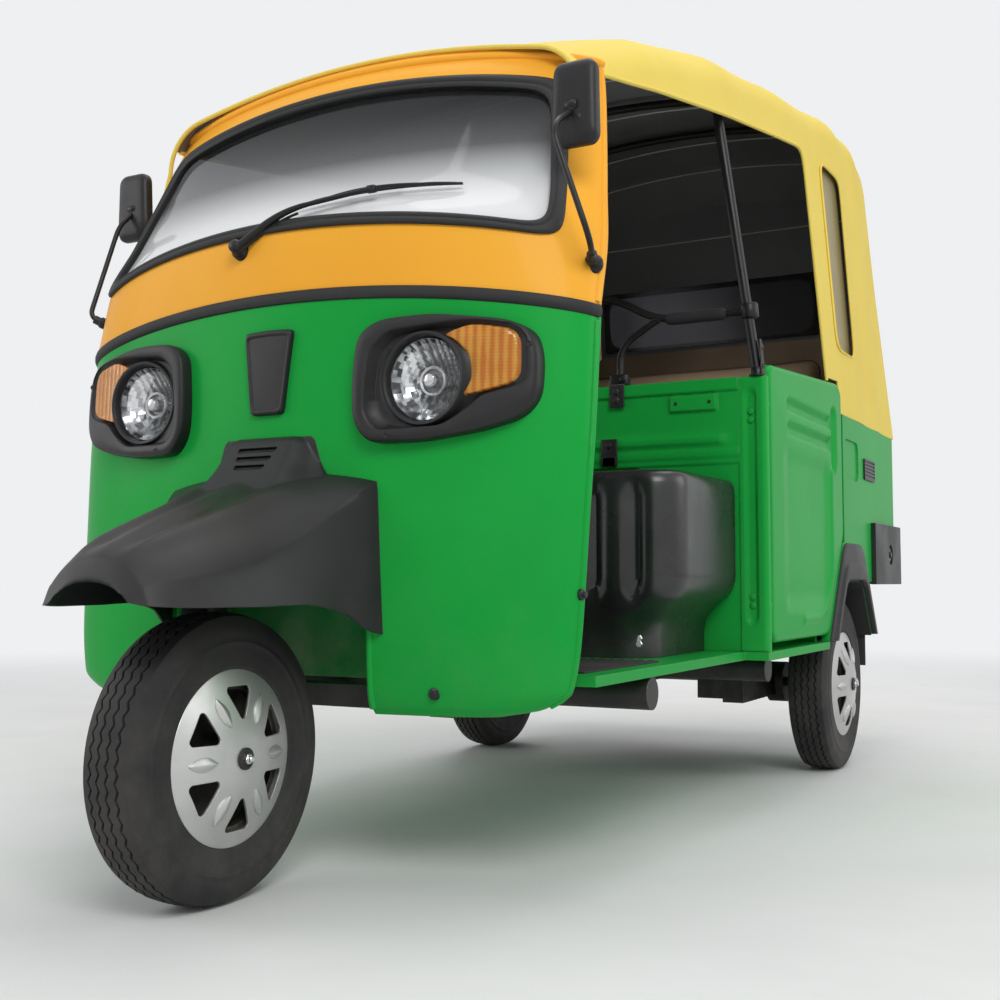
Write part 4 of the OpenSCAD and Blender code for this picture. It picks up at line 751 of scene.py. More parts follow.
buildGroups()
finish = {
    "green": paintFinish("greenPaint", (0.012, 0.360, 0.052), (0.009, 0.325, 0.047)),
    # painted shade: a darker copy of the body green for the wheel well, standing in for the shade inside the opening
    "shadedGreen": paintFinish("shadedLinerGreen", (0.012, 0.22, 0.045), (0.010, 0.18, 0.038), 0.5, 0.2, 0.5),
    "orange": paintFinish("orangePaint", (0.92, 0.44, 0.045), (0.89, 0.40, 0.038), 0.05),
    "plastic": plasticFinish("blackPlastic", (0.012, 0.012, 0.013), 0.42),
    "satin": plasticFinish("satinBlack", (0.008, 0.008, 0.009), 0.34, 900.0, 0.08),
    "rubber": plasticFinish("blackRubber", (0.016, 0.016, 0.016), 0.62, 500.0, 0.2),
    "tyre": plasticFinish("tyreRubber", (0.013, 0.013, 0.014), 0.66, 420.0, 0.35, 0.2, 0.0015),
    "silver": metalFinish("silverCover", (0.62, 0.62, 0.61), 0.34, 0.75, 0.15),
    "steel": metalFinish("blackSteel", (0.014, 0.014, 0.015), 0.48, 0.2, 0.5),
    "bright": metalFinish("brightMetal", (0.72, 0.72, 0.71), 0.24),
    "alloy": metalFinish("engineAlloy", (0.32, 0.32, 0.31), 0.5, 0.8, 0.6),
    "mirror": metalFinish("mirrorGlass", (0.75, 0.77, 0.78), 0.03),
    "hood": clothFinish("hoodCanvas", (0.82, 0.64, 0.125), (0.79, 0.60, 0.105), 1500.0),
    "lining": clothFinish("hoodLining", (0.160, 0.160, 0.172), (0.185, 0.185, 0.198), 1500.0, 0.75),
    "seam": clothFinish("seamTape", (0.62, 0.61, 0.59), (0.55, 0.54, 0.52), 2400.0, 0.7),
    "seat": hideFinish("tanHide", (0.56, 0.400, 0.262), (0.51, 0.355, 0.225)),
    "trim": hideFinish("brownTrim", (0.29, 0.19, 0.115), (0.26, 0.168, 0.10)),
    "tub": plasticFinish("mouldedTub", (0.014, 0.014, 0.015), 0.24, 900.0, 0.05, 0.10, 0.003, 0.55),
    "piping": hideFinish("brownHide", (0.13, 0.078, 0.046), (0.11, 0.064, 0.036)),
    "foam": plasticFinish("railFoam", (0.016, 0.016, 0.017), 0.75, 260.0, 0.6),
    "film": glassFinish("windowFilm", (0.38, 0.31, 0.13), 0.30, 0.35, 0.04, 0.3),
    "darkFilm": glassFinish("rearFilm", (0.006, 0.006, 0.007), 0.18, 0.85, 0.04, 0.12),
    "lens": glassFinish("clearLens", (0.98, 0.99, 1.0), 0.0, 1.0, 0.006),
    "amber": ribbedFinish("amberLens", (1.0, 0.52, 0.07), (0.82, 0.26, 0.015), 0.0150, 0.55),
    "red": ribbedFinish("redLens", (0.85, 0.035, 0.025), (0.45, 0.008, 0.006), 0.0120, 0.35),
    "reflector": metalFinish("reflector", (0.60, 0.61, 0.62), 0.16),
    # painted reflection: this dim copy of the reflector metal darkens alternate facets of the headlamp bowl; the bulb
    # shields use it as their own dark metal
    "dimMetalAndPaintedReflection": metalFinish("dimMetalAndPaintedReflection", (0.13, 0.13, 0.135), 0.20),
    "tray": plasticFinish("paleTray", (0.82, 0.80, 0.76), 0.3, 300.0, 0.1, 0.0),
    "screen": paintedLightScreenFinish(),
}
makeCamera()
makeStudio()
print("studio and finishes ready")

# CAD nodes that keep their own shape

keptFinish = {
    "steel": "chassis_rails crossmembers silencer rear_arms fork front_rim rear_rim_left "
             "rear_rim_right",
    "green": "floor_pan front_cowl bulkhead seat_base rear_side_left rear_side_right rear_panel "
             "door_hinges passenger_door",
    "rubber": "floor_mat belt_moulding windscreen_gasket",
    # painted shade: the wheel well takes the darker green
    "shadedGreen": "wheel_well",
    "orange": "windscreen_surround",
    "screen": "windscreen",
    "plastic": "front_mudguard headlamp_bezels instrument_panel seat_box arch_flares rear_bumper "
               "side_vents",
    "reflector": "headlamps",
    "amber": "turn_lamps",
    "satin": "nose_badge wiper mirrors grab_rail hood_frame handlebar",
    "piping": "driver_seat",
    "seat": "passenger_seat",
    "red": "tail_lamps",
    "hood": "canopy",
    "film": "hood_windows",
    "alloy": "engine",
    "tyre": "front_tyre rear_tyre_left rear_tyre_right",
    "silver": "front_wheel_cover rear_wheel_cover_left rear_wheel_cover_right",
}
for look, nodes in keptFinish.items():
    for node in nodes.split():
        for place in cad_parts[node].material_slots:
            place.material = finish[look]
print("frame dressed")

# nose: cowl, belt, surround, screen

nose = {
    "half": 0.604, "setback": 0.158, "depth": 0.170, "fall": 0.052, "wall": 0.010,
    "bottom": 0.318, "belt": 1.082, "beltTop": 1.104, "header": 1.632, "flange": 0.006,
    "lower": [  # height share, fall, width, front and rear shares
        (0.000, 0.00, 0.740, 0.12, 0.56), (0.022, 0.02, 0.870, 0.05, 0.62), (0.070, 0.05, 0.950, 0.01, 0.66),
        (0.200, 0.15, 0.972, -0.02, 0.70), (0.500, 0.50, 0.986, -0.04, 0.80), (0.760, 0.76, 0.997, -0.03, 0.90),
        (1.000, 1.00, 1.000, 0.00, 1.00)],
    "upper": [
        (0.00, 1.00, 1.000, 0.00, 1.00), (0.20, 1.00, 0.994, -0.03, 1.22), (0.45, 1.00, 0.966, 0.53, 1.47),
        (0.75, 1.00, 0.925, 1.10, 1.80), (0.92, 1.00, 0.896, 1.36, 2.00), (1.00, 1.00, 0.880, 1.56, 2.06)],
}
screen = {"low": 0.225, "high": 0.90, "lowHalf": 0.556, "highHalf": 0.492, "corner": 0.055, "rubber": 0.026,
          "setIn": 0.010}
well = {"half": 0.222, "top": 0.592, "corner": 0.060}
lamp = {"x": 0.332, "z": 0.918, "front": 0.178, "radius": 0.074, "dome": 0.016, "flutes": 420.0}
lowerNose, upperNose = tableCurve(nose["lower"]), tableCurve(nose["upper"])


def noseSpan(upper):
    return (nose["beltTop"], nose["header"], upperNose) if upper else (nose["bottom"], nose["belt"], lowerNose)


def noseRow(curve, share, grow):  # fall, half width, front and rear setbacks at one height
    fall, width, front, rear = curve(share)
    frontY = nose["setback"] + nose["depth"] * front - grow
    return fall, nose["half"] * width + grow, frontY, nose["setback"] + nose["depth"] * rear


def nosePoint(upper, share, turn, grow=0.0):
    low, high, curve = noseSpan(upper)
    fall, half, frontY, rearY = noseRow(curve, share, grow)
    s = math.sin(turn)
    z = mixed(low, high, share) - nose["fall"] * fall * s * s
    return at(half * s, rearY - (rearY - frontY) * math.cos(turn), z)


def noseFront(x, z, grow=0.0, upper=False):  # setback of the nose's face at a place in the front view
    low, high, curve = noseSpan(upper)
    share = held((z - low) / (high - low))
    for _ in range(8):
        fall, half = noseRow(curve, share, grow)[:2]
        s = held(x / half, -1, 1)
        share = held((z + nose["fall"] * fall * s * s - low) / (high - low))
    fall, half, frontY, rearY = noseRow(curve, share, grow)
    s = held(x / half, -1, 1)
    return rearY - (rearY - frontY) * math.sqrt(1 - s * s)


def noseSpot(x, z, grow=0.0, upper=False):
    return at(x, noseFront(x, z, grow, upper), z)


def noseTurns(count):
    return [math.pi * (k / (count - 1) - 0.5) for k in range(count)]


def noseShell(name, upper, shares, turns, outside, inside):
    return shellOf(name, *([[nosePoint(upper, s, t, grow) for t in turns] for s in shares]
                           for grow in (outside, inside)))


def rounder(path, reach, count):  # eases the corners of a closed outline
    path = evenly(path, count)
    length = sum((path[i] - path[i - 1]).length for i in range(count))
    width = max(int(reach / (length / count) / 2), 1)
    for _ in range(3):
        path = [sum((path[(i + k) % count] for k in range(-width, width + 1)), path[0] * 0) / (2 * width + 1)
                for i in range(count)]
    return path


def screenLoop(margin, count=320):
    height = nose["header"] - nose["beltTop"]
    low = nose["beltTop"] + screen["low"] * height + margin
    high = nose["beltTop"] + screen["high"] * height - margin
    places = [k / 24 - 1 for k in range(49)]
    path = [Vector((s * (screen["lowHalf"] - margin), low - nose["fall"] * s * s)) for s in places]
    path += [Vector((-s * (screen["highHalf"] - margin), high - nose["fall"] * s * s)) for s in places]
    return rounder(path, screen["corner"], count)


def wellLoop(grow=0.0, steps=10):  # front view of the wheel opening from its right foot to its left
    half, top, r = well["half"] + grow, well["top"] + grow, well["corner"] + grow
    path = [Vector((half, nose["bottom"] - 0.06)), Vector((half, (nose["bottom"] + top) / 2))]
    path += [Vector((half - r + r * math.cos(a), top - r + r * math.sin(a)))
             for a in [math.pi / 2 * k / steps for k in range(steps + 1)]]
    return path + [Vector((-p.x, p.y)) for p in reversed(path)]


def edgeStrip(upper, first, length, side, rows):  # doubled sheet along the doorway
    def line(lean, grow):
        turn = side * math.radians(90 - lean)
        return [nosePoint(upper, first + length * k / 60, turn, grow) for k in range(61)]
    return shellOf("edgeStrip", [line(lean, grow) for lean, grow in rows], [line(lean, -0.003) for lean, _ in rows])


def makeNose():
    shares = [0.004 + 0.996 * (k / 72) ** 1.35 for k in range(73)]
    shares[0] = 0.0
    cowl = noseShell("cowl", False, shares, noseTurns(145), 0, -nose["wall"])
    cutters = [prismOf("wellCut", wellLoop(), -0.3, nose["setback"] + nose["depth"])]
    hole = lamp["radius"] + 0.006
    for side in (-1, 1):
        place = at(side * lamp["x"], lamp["front"], lamp["z"])
        cutters.append(turnedOf("lampCut", [(-0.2, hole), (0.2, hole)], place, forward))
    cutBy(cowl, cutters)
    finished(cowl, "green", "green_paint", "front_cowl")

    foot = nose["bottom"] + 0.01
    edge = [p for p in evenly(wellLoop(0.002), 90, False) if p.y > foot]
    rolled = [tubeOf("wellEdge", [noseSpot(p.x, max(p.y, nose["bottom"] + 0.012), -0.001) for p in edge], 0.007, 12)]
    for side in (-1, 1):
        path = [nosePoint(False, 0.03 + 0.97 * k / 60, side * math.pi / 2, -0.002) for k in range(61)]
        rolled.append(tubeOf("doorEdge", path, nose["flange"], 12))
        rolled.append(edgeStrip(False, 0.05, 0.94, side, ((0, 0.0042), (3.5, 0.0042), (4.4, 0.0034), (4.8, -0.001))))
    joined("cowlFlanges", rolled, "green", "green_paint", angle=50)

    bolts = []
    for side in (-1, 1):
        for share, turn in ((0.30, 87.5), (0.055, 38.0)):
            place = nosePoint(False, share, side * math.radians(turn), 0.0)
            out = (nosePoint(False, share, side * math.radians(turn), 0.02) - place).normalized()
            bolts.append(turnedPart("cowlBolt", place, out, 24))
    joined("cowlBolts", bolts, "satin", "black_plastic")

    bead = [(-0.002, 0.000), (0.004, 0.003), (0.0065, 0.009), (0.0065, 0.017), (0.004, 0.0235), (-0.002, 0.026)]
    grids = [[[nosePoint(True, 0, t, g if proud else -0.008) + Vector((0, 0, z - 0.0242)) for t in noseTurns(121)]
              for g, z in bead] for proud in (True, False)]
    finished(shellOf("beltStrip", *grids), "rubber", "black_rubber", "belt_moulding")

    surround = noseShell("screenSurround", True, spread(0, 1, 64), noseTurns(145), 0, -nose["wall"])
    cutBy(surround, [prismOf("screenCut", screenLoop(0), -0.3, 0.9)])
    finished(surround, "orange", "orange_paint", "windscreen_surround")

    trims = [tubeOf("headerRoll", [nosePoint(True, 0.994, t, 0.001) for t in noseTurns(121)], 0.009, 12)]
    for side in (-1, 1):
        path = [nosePoint(True, share, side * math.pi / 2, -0.003) for share in spread(0, 1, 60)]
        trims.append(tubeOf("pillarRoll", path, 0.007, 12))
        trims.append(edgeStrip(True, 0.01, 0.97, side, ((0, 0.004), (3.8, 0.004), (4.6, 0.003), (5.0, -0.001))))
    joined("surroundEdges", trims, "orange", "orange_paint", angle=50)

    lips = [(-0.001, -0.004), (-0.003, 0.004), (0.001, 0.009), (0.008, 0.0100), (0.0115, 0.0075), (0.0135, 0.0055),
            (0.0155, 0.0075), (0.019, 0.0085), (0.024, 0.005), (0.026, -0.002), (0.026, -0.012)]
    loops = [[noseSpot(p.x, p.y, grow, True) for p in screenLoop(margin)] for margin, grow in lips]
    finished(loftOf("screenRubber", loops, False), "rubber", "black_rubber", "windscreen_gasket", angle=60)

    glass = noseShell("screenGlass", True, [0.12 + 0.86 * k / 40 for k in range(41)], noseTurns(121)[6:-6],
                      -screen["setIn"], -screen["setIn"] - 0.005)
    cutBy(glass, [prismOf("glassCut", screenLoop(screen["rubber"] - 0.003), -0.3, 0.9)], "INTERSECT")
    finished(glass, "screen", "glass", "windscreen", angle=60)
    print("nose built")


makeNose()

# mudguard with its louvred neck

guard = {
    "wall": 0.006, "ridge": 0.011,
    "rows": [  # setback, half width, lower edge, top, crease half width, crease height
        (-0.288, 0.084, 0.524, 0.556, 0.066, 0.538), (-0.272, 0.118, 0.518, 0.598, 0.098, 0.553),
        (-0.205, 0.152, 0.515, 0.634, 0.130, 0.568), (-0.100, 0.182, 0.515, 0.676, 0.157, 0.590),
        (0.000, 0.203, 0.517, 0.712, 0.178, 0.626), (0.080, 0.220, 0.505, 0.740, 0.203, 0.680),
        (0.150, 0.246, 0.466, 0.760, 0.234, 0.730), (0.200, 0.262, 0.457, 0.768, 0.252, 0.752)],
    "neck": [  # height, half width, front setback
        (0.690, 0.205, 0.030), (0.720, 0.172, 0.052), (0.745, 0.142, 0.076), (0.770, 0.124, 0.097),
        (0.800, 0.113, 0.118), (0.818, 0.107, 0.130), (0.826, 0.098, 0.142)],
    "louvres": [(0.801, 0.044), (0.784, 0.040), (0.767, 0.034)],  # height, half width
}


def guardSection(curve, setback, inset, columns=71):
    half, lower, top, creaseHalf, creaseZ = curve(setback)
    fade = eased(-0.285, -0.20, setback) * (1 - eased(0.02, 0.15, setback))
    path = []
    for k in range(columns):
        v = 2 * k / (columns - 1) - 1
        side, a = (1 if v >= 0 else -1), abs(v)
        if a < 0.72:  # over the top
            t = a / 0.72
            x = (creaseHalf - inset) * math.sin(t * math.pi / 2) ** 0.92
            share = held(x / max(creaseHalf - inset, 0.001))
            z = top - inset - (top - creaseZ) * (0.30 * share ** 1.3 + 0.70 * share ** 3.2)
            swell = math.exp(-((share - 0.52) / 0.13) ** 2) - 0.5 * math.exp(-((share - 0.25) / 0.16) ** 2)
            z += guard["ridge"] * fade * swell
        else:  # skirt below the crease
            t = (a - 0.72) / 0.28
            x = mixed(creaseHalf, half, t ** 0.8) - inset
            z = mixed(creaseZ - inset, lower, eased(0, 1, t) * 0.3 + t * 0.7)
        path.append(at(side * x, min(setback, noseFront(side * x, max(z, 0.33), -0.003)), z))
    return path


def makeGuard():
    curve = tableCurve(guard["rows"])
    stations = [-0.288 + 0.016 * (k / 10) for k in range(10)] + [-0.272 + 0.472 * k / 80 for k in range(81)]
    outer = [guardSection(curve, s, 0) for s in stations]
    inner = [guardSection(curve, max(s, -0.280), guard["wall"]) for s in stations]
    cover = smoothed(shellOf("guardCover", outer, inner), 50)

    shape = tableCurve(guard["neck"])
    loops = []
    for k in range(45):
        z = 0.690 + (0.826 - 0.690) * k / 44
        half, front = shape(z)
        face = 0.62 + 0.10 * eased(0.72, 0.82, z)  # flat share of the face before the chamfer
        loop = []
        for j in range(61):
            v = 2 * j / 60 - 1
            a = abs(v)
            x = half * v
            bend = eased(face - 0.16, face + 0.22, a) * 0.45 * (a - face + 0.16) / 0.54 if a > face - 0.16 else 0
            y = front + half * (0.04 * v * v + bend)
            loop.append(at(x, min(y, noseFront(x, z, 0.0)), z))
        loop += [at(x, noseFront(x, z, -0.004) + 0.001, z) for x in [half * (1 - 2 * j / 12) for j in range(13)]]
        loops.append(loop)
    neck = faceOut(loftOf("guardNeck", loops))
    slots, slats = [], []
    for z, half in guard["louvres"]:
        low, high, front = z - 0.0045, z + 0.0045, shape(z)[1]
        path = roundedOutline([(-half, low), (half, low), (half + 0.002, high), (-half - 0.002, high)], 0.004)
        slots.append(prismOf("louvreCut", path, -0.2, front + 0.016))
        slats.append(softBlock("louvreSlat", (2 * half + 0.002, 0.016, 0.0022), at(0, front + 0.010, z + 0.001), 0.0008,
                               Matrix.Rotation(math.radians(28), 3, "X"), 2))
    smoothed(cutBy(neck, slots), 45)
    whole = mergedOf("mudguard", [cover, neck] + slats)
    whole.data.materials.append(finish["plastic"])
    whole.data.set_sharp_from_angle(angle=math.radians(48))
    placed(whole, "body", "black_plastic", "front_mudguard")
    print("mudguard built")


makeGuard()

# lamps: bezels, headlamps, turn lamps, badge

bezel = {  # outlines in mm about the lamp, outward first
    "outline": [(-134, -8), (-126, 86), (-84, 112), (20, 116), (150, 100), (196, 78), (206, 30), (204, -44), (176, -78),
                (100, -100), (0, -114), (-104, -114), (-132, -74)],
    "bowl": [(-108, -10), (-100, 58), (-66, 88), (20, 96), (92, 100), (168, 90), (186, 70), (188, -10), (168, -22),
             (112, -36), (84, -62), (40, -88), (-84, -92), (-108, -62)],
    "amber": [(72, -36), (112, -29), (164, -17), (180, -6), (180, 66), (165, 84), (92, 94), (40, 74)],
    "holes": [(190, 52), (-60, -102)], "proud": 0.029,
}
badge = {"z": 0.950, "half": 0.056, "tall": 0.160, "taper": 0.66,  # bare tapered plate
         "rings": ((1.0, -0.003), (1.0, 0.006), (0.985, 0.0095), (0.95, 0.0115), (0.90, 0.0115), (0.875, 0.0105),
                   (0.86, 0.0085), (0.5, 0.0090), (0.1, 0.0092))}  # share, proud


def rayReach(outline, angle):
    d = Vector((math.cos(angle), math.sin(angle)))
    best = 0.0
    for i, a in enumerate(outline):
        e = outline[(i + 1) % len(outline)] - a
        det = e.x * d.y - d.x * e.y
        if abs(det) > 1e-12:
            t = (e.x * a.y - a.x * e.y) / det
            s = (d.x * a.y - d.y * a.x) / det
            if -1e-9 <= s <= 1 + 1e-9 and t > best:
                best = t
    return best


def lampSpot(angle, reach, grow, plane=0.0, setback=0.0, clear=0.0):  # plane: how far from the nose to the lamp's plane
    x, z = lamp["x"] + reach * math.cos(angle), lamp["z"] + reach * math.sin(angle)
    y = mixed(noseFront(x, z, grow), setback, plane)
    return at(x, min(y, noseFront(x, z) - clear) if clear else y, z)


def makeLamps():
    angles = roundTurn(168)
    scaled = {key: rounder([Vector(p) * 0.001 for p in bezel[key]], corner, 200)
              for key, corner in (("outline", 0.030), ("bowl", 0.020), ("amber", 0.020))}
    outer = [rayReach(scaled["outline"], a) for a in angles]
    bowl = [rayReach(scaled["bowl"], a) for a in angles]
    front, radius, proud = lamp["front"], lamp["radius"], bezel["proud"]
    rings = []
    for share, grow in ((1.0, -0.003), (1.0, 0.016), (0.993, 0.022), (0.982, 0.0265), (0.965, proud)):
        rings.append([lampSpot(a, o * share, grow) for a, o in zip(angles, outer)])
    for share, grow in ((0.55, proud), (0.88, proud - 0.0005), (1.0, proud - 0.002)):
        rings.append([lampSpot(a, mixed(o * 0.965, b, share), grow) for a, o, b in zip(angles, outer, bowl)])
    rings.append([lampSpot(a, b * 0.985, proud - 0.006) for a, b in zip(angles, bowl)])
    for share, plane, setback in ((0.35, 0.35, front + 0.004), (0.70, 0.75, front + 0.002), (0.96, 1.0, front - 0.002)):
        rings.append([lampSpot(a, mixed(b * 0.96, 0.0865, share), 0.006, plane, setback, 0.003)
                      for a, b in zip(angles, bowl)])
    for reach, setback in ((0.0855, front - 0.012), (0.0835, front - 0.0155), (0.0795, front - 0.0155),
                           (0.0768, front - 0.012), (0.0758, front + 0.014)):
        rings.append([lampSpot(a, reach, 0, 1.0, setback) for a in angles])
    shade = loftOf("bezelLeft", rings, False)
    joined("lampBezels", bothSides(shade), "plastic", "black_plastic", "headlamp_bezels", angle=55)

    plugs = []
    for u, v in bezel["holes"]:
        x, z = lamp["x"] + u * 0.001, lamp["z"] + v * 0.001
        out = (noseSpot(x, z, proud + 0.01) - noseSpot(x, z, proud)).normalized()
        plugs.append(turnedPart("bezelScrew", noseSpot(x, z, proud), out, 20))
    joined("bezelScrews", bothSides(*plugs), "satin", "black_plastic")

    lenses, bowls, bulbs, shields = [], [], [], []
    for side in (-1, 1):
        place = at(side * lamp["x"], front, lamp["z"])
        face = [(lamp["dome"] * (1 - s * s), radius * s) for s in reversed(spread(0, 1, 10)[1:])]
        face.append((lamp["dome"], 0.0004))
        back = [(z - 0.003, max(r - 0.001, 0.0004)) for z, r in reversed(face)]
        lenses.append(turnedOf("lampLens", face + back + [face[0]], place, forward, 64, False))
        shares = [1 - k / 14 for k in range(15)]
        ringsIn = [(-0.004 - 0.048 * (1 - s * s), max((radius - 0.001) * s, 0.012)) for s in shares]
        ringsIn += [(-0.058, 0.012), (-0.058, 0.0765), (-0.003, 0.0765)]
        dish = turnedOf("lampBowl", ringsIn, place, forward, 80, False)
        for look in ("reflector", "dimMetalAndPaintedReflection", "plastic"):
            dish.data.materials.append(finish[look])
        for v in dish.data.vertices:
            if 0.014 < math.hypot(v.co.x - place.x, v.co.z - place.z) < radius - 0.004:  # pressed flutes
                v.co.y += 0.0012 * math.sin((v.co.x - place.x) * lamp["flutes"])
        for face in dish.data.polygons:
            dx, dz = face.center.x - place.x, face.center.z - place.z
            if dz > 0.008:  # upright flutes above, small facets below; the dark ones take the dim metal as a painted reflection of dark surroundings
                dark = math.sin(dx * lamp["flutes"]) < -0.30
            else:
                ring, wedge = int(math.hypot(dx, dz) / 0.0105), int((math.atan2(dz, dx) + math.pi) / math.radians(18))
                dark = (2 * ring + wedge) % 3 == 0
            behind = face.center.y - place.y > 0.0570 or math.hypot(dx, dz) > radius + 0.0015
            face.material_index = 2 if behind else 1 if dark else 0
        bowls.append(dish)
        bowls.append(turnedPart("lampBoot", place, forward, 40))
        bowls[-1].data.materials.append(finish["rubber"])
        bulbs.append(turnedPart("bulbCap", place, forward, 32))
        shields.append(turnedPart("bulbShield", place, forward, 40))
        bulbs.append(turnedPart("bulbRing", place, forward, 40, False))
    joined("headlampLenses", lenses, "lens", "lamp_glass", "headlamps", angle=60)
    placed(smoothed(mergedOf("headlampBowls", bowls), 8), "body", "lamp_glass")
    joined("headlampBulbs", bulbs, "bright", "lamp_glass")
    joined("bulbShields", shields, "dimMetalAndPaintedReflection", "lamp_glass")

    def amberGrid(lift, inset):
        rows = []
        for j in range(41):
            angle = math.radians(mixed(-26, 61, j / 40))
            edge = min(rayReach(scaled["amber"], angle), rayReach(scaled["bowl"], angle) * 0.985) - inset
            inner = 0.0868 + inset
            edge = max(edge, inner + 0.002)
            row = []
            for k in range(25):
                s = k / 24
                rim = eased(0, 0.10, s) * (1 - eased(0.90, 1.0, s))
                rim *= eased(0, 0.07, j / 40) * (1 - eased(0.93, 1.0, j / 40))
                rib = 0.0014 * (k % 2) * eased(0.1, 0.25, s) if inset else 0.0  # moulded ribs inside the lens
                row.append(lampSpot(angle, mixed(inner, edge, s), lift + 0.011 * rim + rib))
            rows.append(row)
        return rows
    lens = shellOf("turnLens", amberGrid(0.0165, 0.0), amberGrid(0.0135, 0.002))
    joined("turnLenses", bothSides(lens), "amber", "amber_plastic", "turn_lamps", angle=60)
    tray = shellOf("turnTray", amberGrid(0.004, 0.001), amberGrid(0.002, 0.001))
    joined("turnTrays", bothSides(tray), "tray", "amber_plastic", angle=60)
    x, z = lamp["x"] + 0.130, lamp["z"] + 0.032
    bulb = turnedPart("turnBulb", noseSpot(x, z, 0.0),
                    noseSpot(x, z, 0.01) - noseSpot(x, z, 0.0), 24)
    joined("turnBulbs", bothSides(bulb), "bright", "lamp_glass")

    wide, high = badge["half"], badge["tall"] / 2
    foot = wide * badge["taper"]
    path = [(-foot, -high), (foot, -high), (wide, high), (0.012, high + 0.002), (-0.012, high + 0.002), (-wide, high)]
    path = rounder(path, 0.010, 120)
    loops = [[noseSpot(p.x * s, badge["z"] + p.y * s, g) for p in path] for s, g in badge["rings"]]
    finished(loftOf("nosePlate", loops), "satin", "black_plastic", "nose_badge", angle=50)
    print("lamps built")


makeLamps()

# wheels

tyre = {
    "tread": 0.047, "radius": 0.252, "crown": 0.007, "grooves": (-0.0285, -0.0095, 0.0095, 0.0285),
    "grooveWidth": 0.0046, "grooveDepth": 0.0065, "waves": 60, "wave": 0.0030, "steps": 240, "ribs": 0.0012,
    "wall": [  # half width, radius from the bead out to the shoulder
        (0.034, 0.126), (0.043, 0.130), (0.0475, 0.139), (0.0510, 0.1495), (0.0528, 0.1560), (0.0546, 0.1572),
        (0.0550, 0.1602), (0.0546, 0.1625), (0.0562, 0.1750), (0.0569, 0.1880), (0.0570, 0.1975), (0.0578, 0.1988),
        (0.0578, 0.2008), (0.0569, 0.2022), (0.0562, 0.2110), (0.0552, 0.2150), (0.0528, 0.2280), (0.0505, 0.2365),
        (0.0490, 0.2410)],
}


def tyreColumns():
    columns = [(-u, r, 0.0, 0.214 < r < 0.229) for u, r in tyre["wall"]]
    cuts = []
    for g in tyre["grooves"]:
        a, b = g - tyre["grooveWidth"] / 2, g + tyre["grooveWidth"] / 2
        cuts += [(a - 0.0016, 0), (a - 0.0002, 0.0006), (a + 0.0006, 1), (b - 0.0006, 1), (b + 0.0002, 0.0006),
                 (b + 0.0016, 0)]
    plain = [(u, 0) for u in (0.040, 0.0445, tyre["tread"])]
    for u, deep in [(-u, 0) for u, _ in reversed(plain)] + cuts + plain:
        top = tyre["radius"] - tyre["crown"] * (abs(u) / tyre["tread"]) ** 2.4
        columns.append((u, top - tyre["grooveDepth"] * deep, 1.0 if abs(u) < 0.036 else 0.0, False))
    return columns + [(u, r, 0.0, 0.214 < r < 0.229) for u, r in reversed(tyre["wall"])]


def makeTyre(name, node, body):
    centre = middleOf(node)
    loops = []
    for u, r, wave, ribbed in tyreColumns():
        loop = []
        for k in range(tyre["steps"]):
            a = 2 * math.pi * k / tyre["steps"]
            phase = (k * tyre["waves"] / tyre["steps"]) % 1
            zigzag = 4 * abs(phase - 0.5) - 1
            out = tyre["ribs"] * (1 if k % 2 else -1) if ribbed else 0
            x = u + tyre["wave"] * zigzag * wave + (math.copysign(out, u) if ribbed else 0)
            loop.append(centre + Vector((x, r * math.sin(a), r * math.cos(a))))
        loops.append(loop)
    finished(loftOf(name, loops, False), "tyre", "tyre_rubber", node, body=body, angle=38)


coverTrim = {"dome": 0.028, "radius": 0.1525, "leaves": 6, "ring": 0.094, "leafHalf": 0.0285, "leafWide": 0.0112,
             "leafRise": 0.0042, "nut": 0.009}


def makeCoverTrim(name, node, body, sign):  # pressed leaves, a black collar and a bright nut on the wheel cover
    low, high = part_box(node)
    centre = middleOf(node)
    face = (high[0] if sign > 0 else low[0]) - sign * coverTrim["nut"]
    ball = (coverTrim["radius"] ** 2 + coverTrim["dome"] ** 2) / (2 * coverTrim["dome"])

    def onDome(along, across, turn, lift):
        out = math.hypot(along, across)
        drop = ball - math.sqrt(ball * ball - out * out)
        c, s = math.cos(turn), math.sin(turn)
        return Vector((face + sign * (lift - drop), centre.y + along * s + across * c,
                       centre.z + along * c - across * s))
    leaves = []
    for i in range(coverTrim["leaves"]):
        turn = 2 * math.pi * (i + 0.5) / coverTrim["leaves"]
        top, base = [], []
        for u in spread(-1, 1, 24):
            wide = coverTrim["leafWide"] * max(1 - u * u, 0.02)
            tall = math.sqrt(max(1 - u * u, 0))
            row = [(coverTrim["ring"] + coverTrim["leafHalf"] * u, wide * v,
                    coverTrim["leafRise"] * (1 - abs(v) ** 1.4) * tall)
                   for v in spread(-1, 1, 12)]
            top.append([onDome(a, b, turn, 0.0022 + rise) for a, b, rise in row])
            base.append([onDome(a, b, turn, -0.001) for a, b, rise in row])
        leaves.append(shellOf("leaf", top, base))
    joined(name + "Leaves", leaves, "silver", "silver_plastic", angle=35, body=body)
    hub = Vector((face, centre.y, centre.z))
    collar = turnedPart("collar", hub, (sign, 0, 0), 40)
    joined(name + "Collar", [collar], "satin", "black_plastic", body=body)
    nut = [turnedPart("nut", hub, (sign, 0, 0), 6),
           turnedPart("stud", hub, (sign, 0, 0), 24)]
    joined(name + "Nut", nut, "bright", "silver_plastic", angle=30, body=body)


for end, body in (("front", "front_wheel"), ("rear_left", "rear_wheel_left"), ("rear_right", "rear_wheel_right")):
    node = "front_tyre" if end == "front" else end.replace("rear_", "rear_tyre_")
    makeTyre(end + "Tyre", node, body)
    makeCoverTrim(end, node.replace("tyre", "wheel_cover"), body, -1 if end == "rear_right" else 1)
print("tyres built")

# hood: one stretched canvas over bows, its lining, hems and films

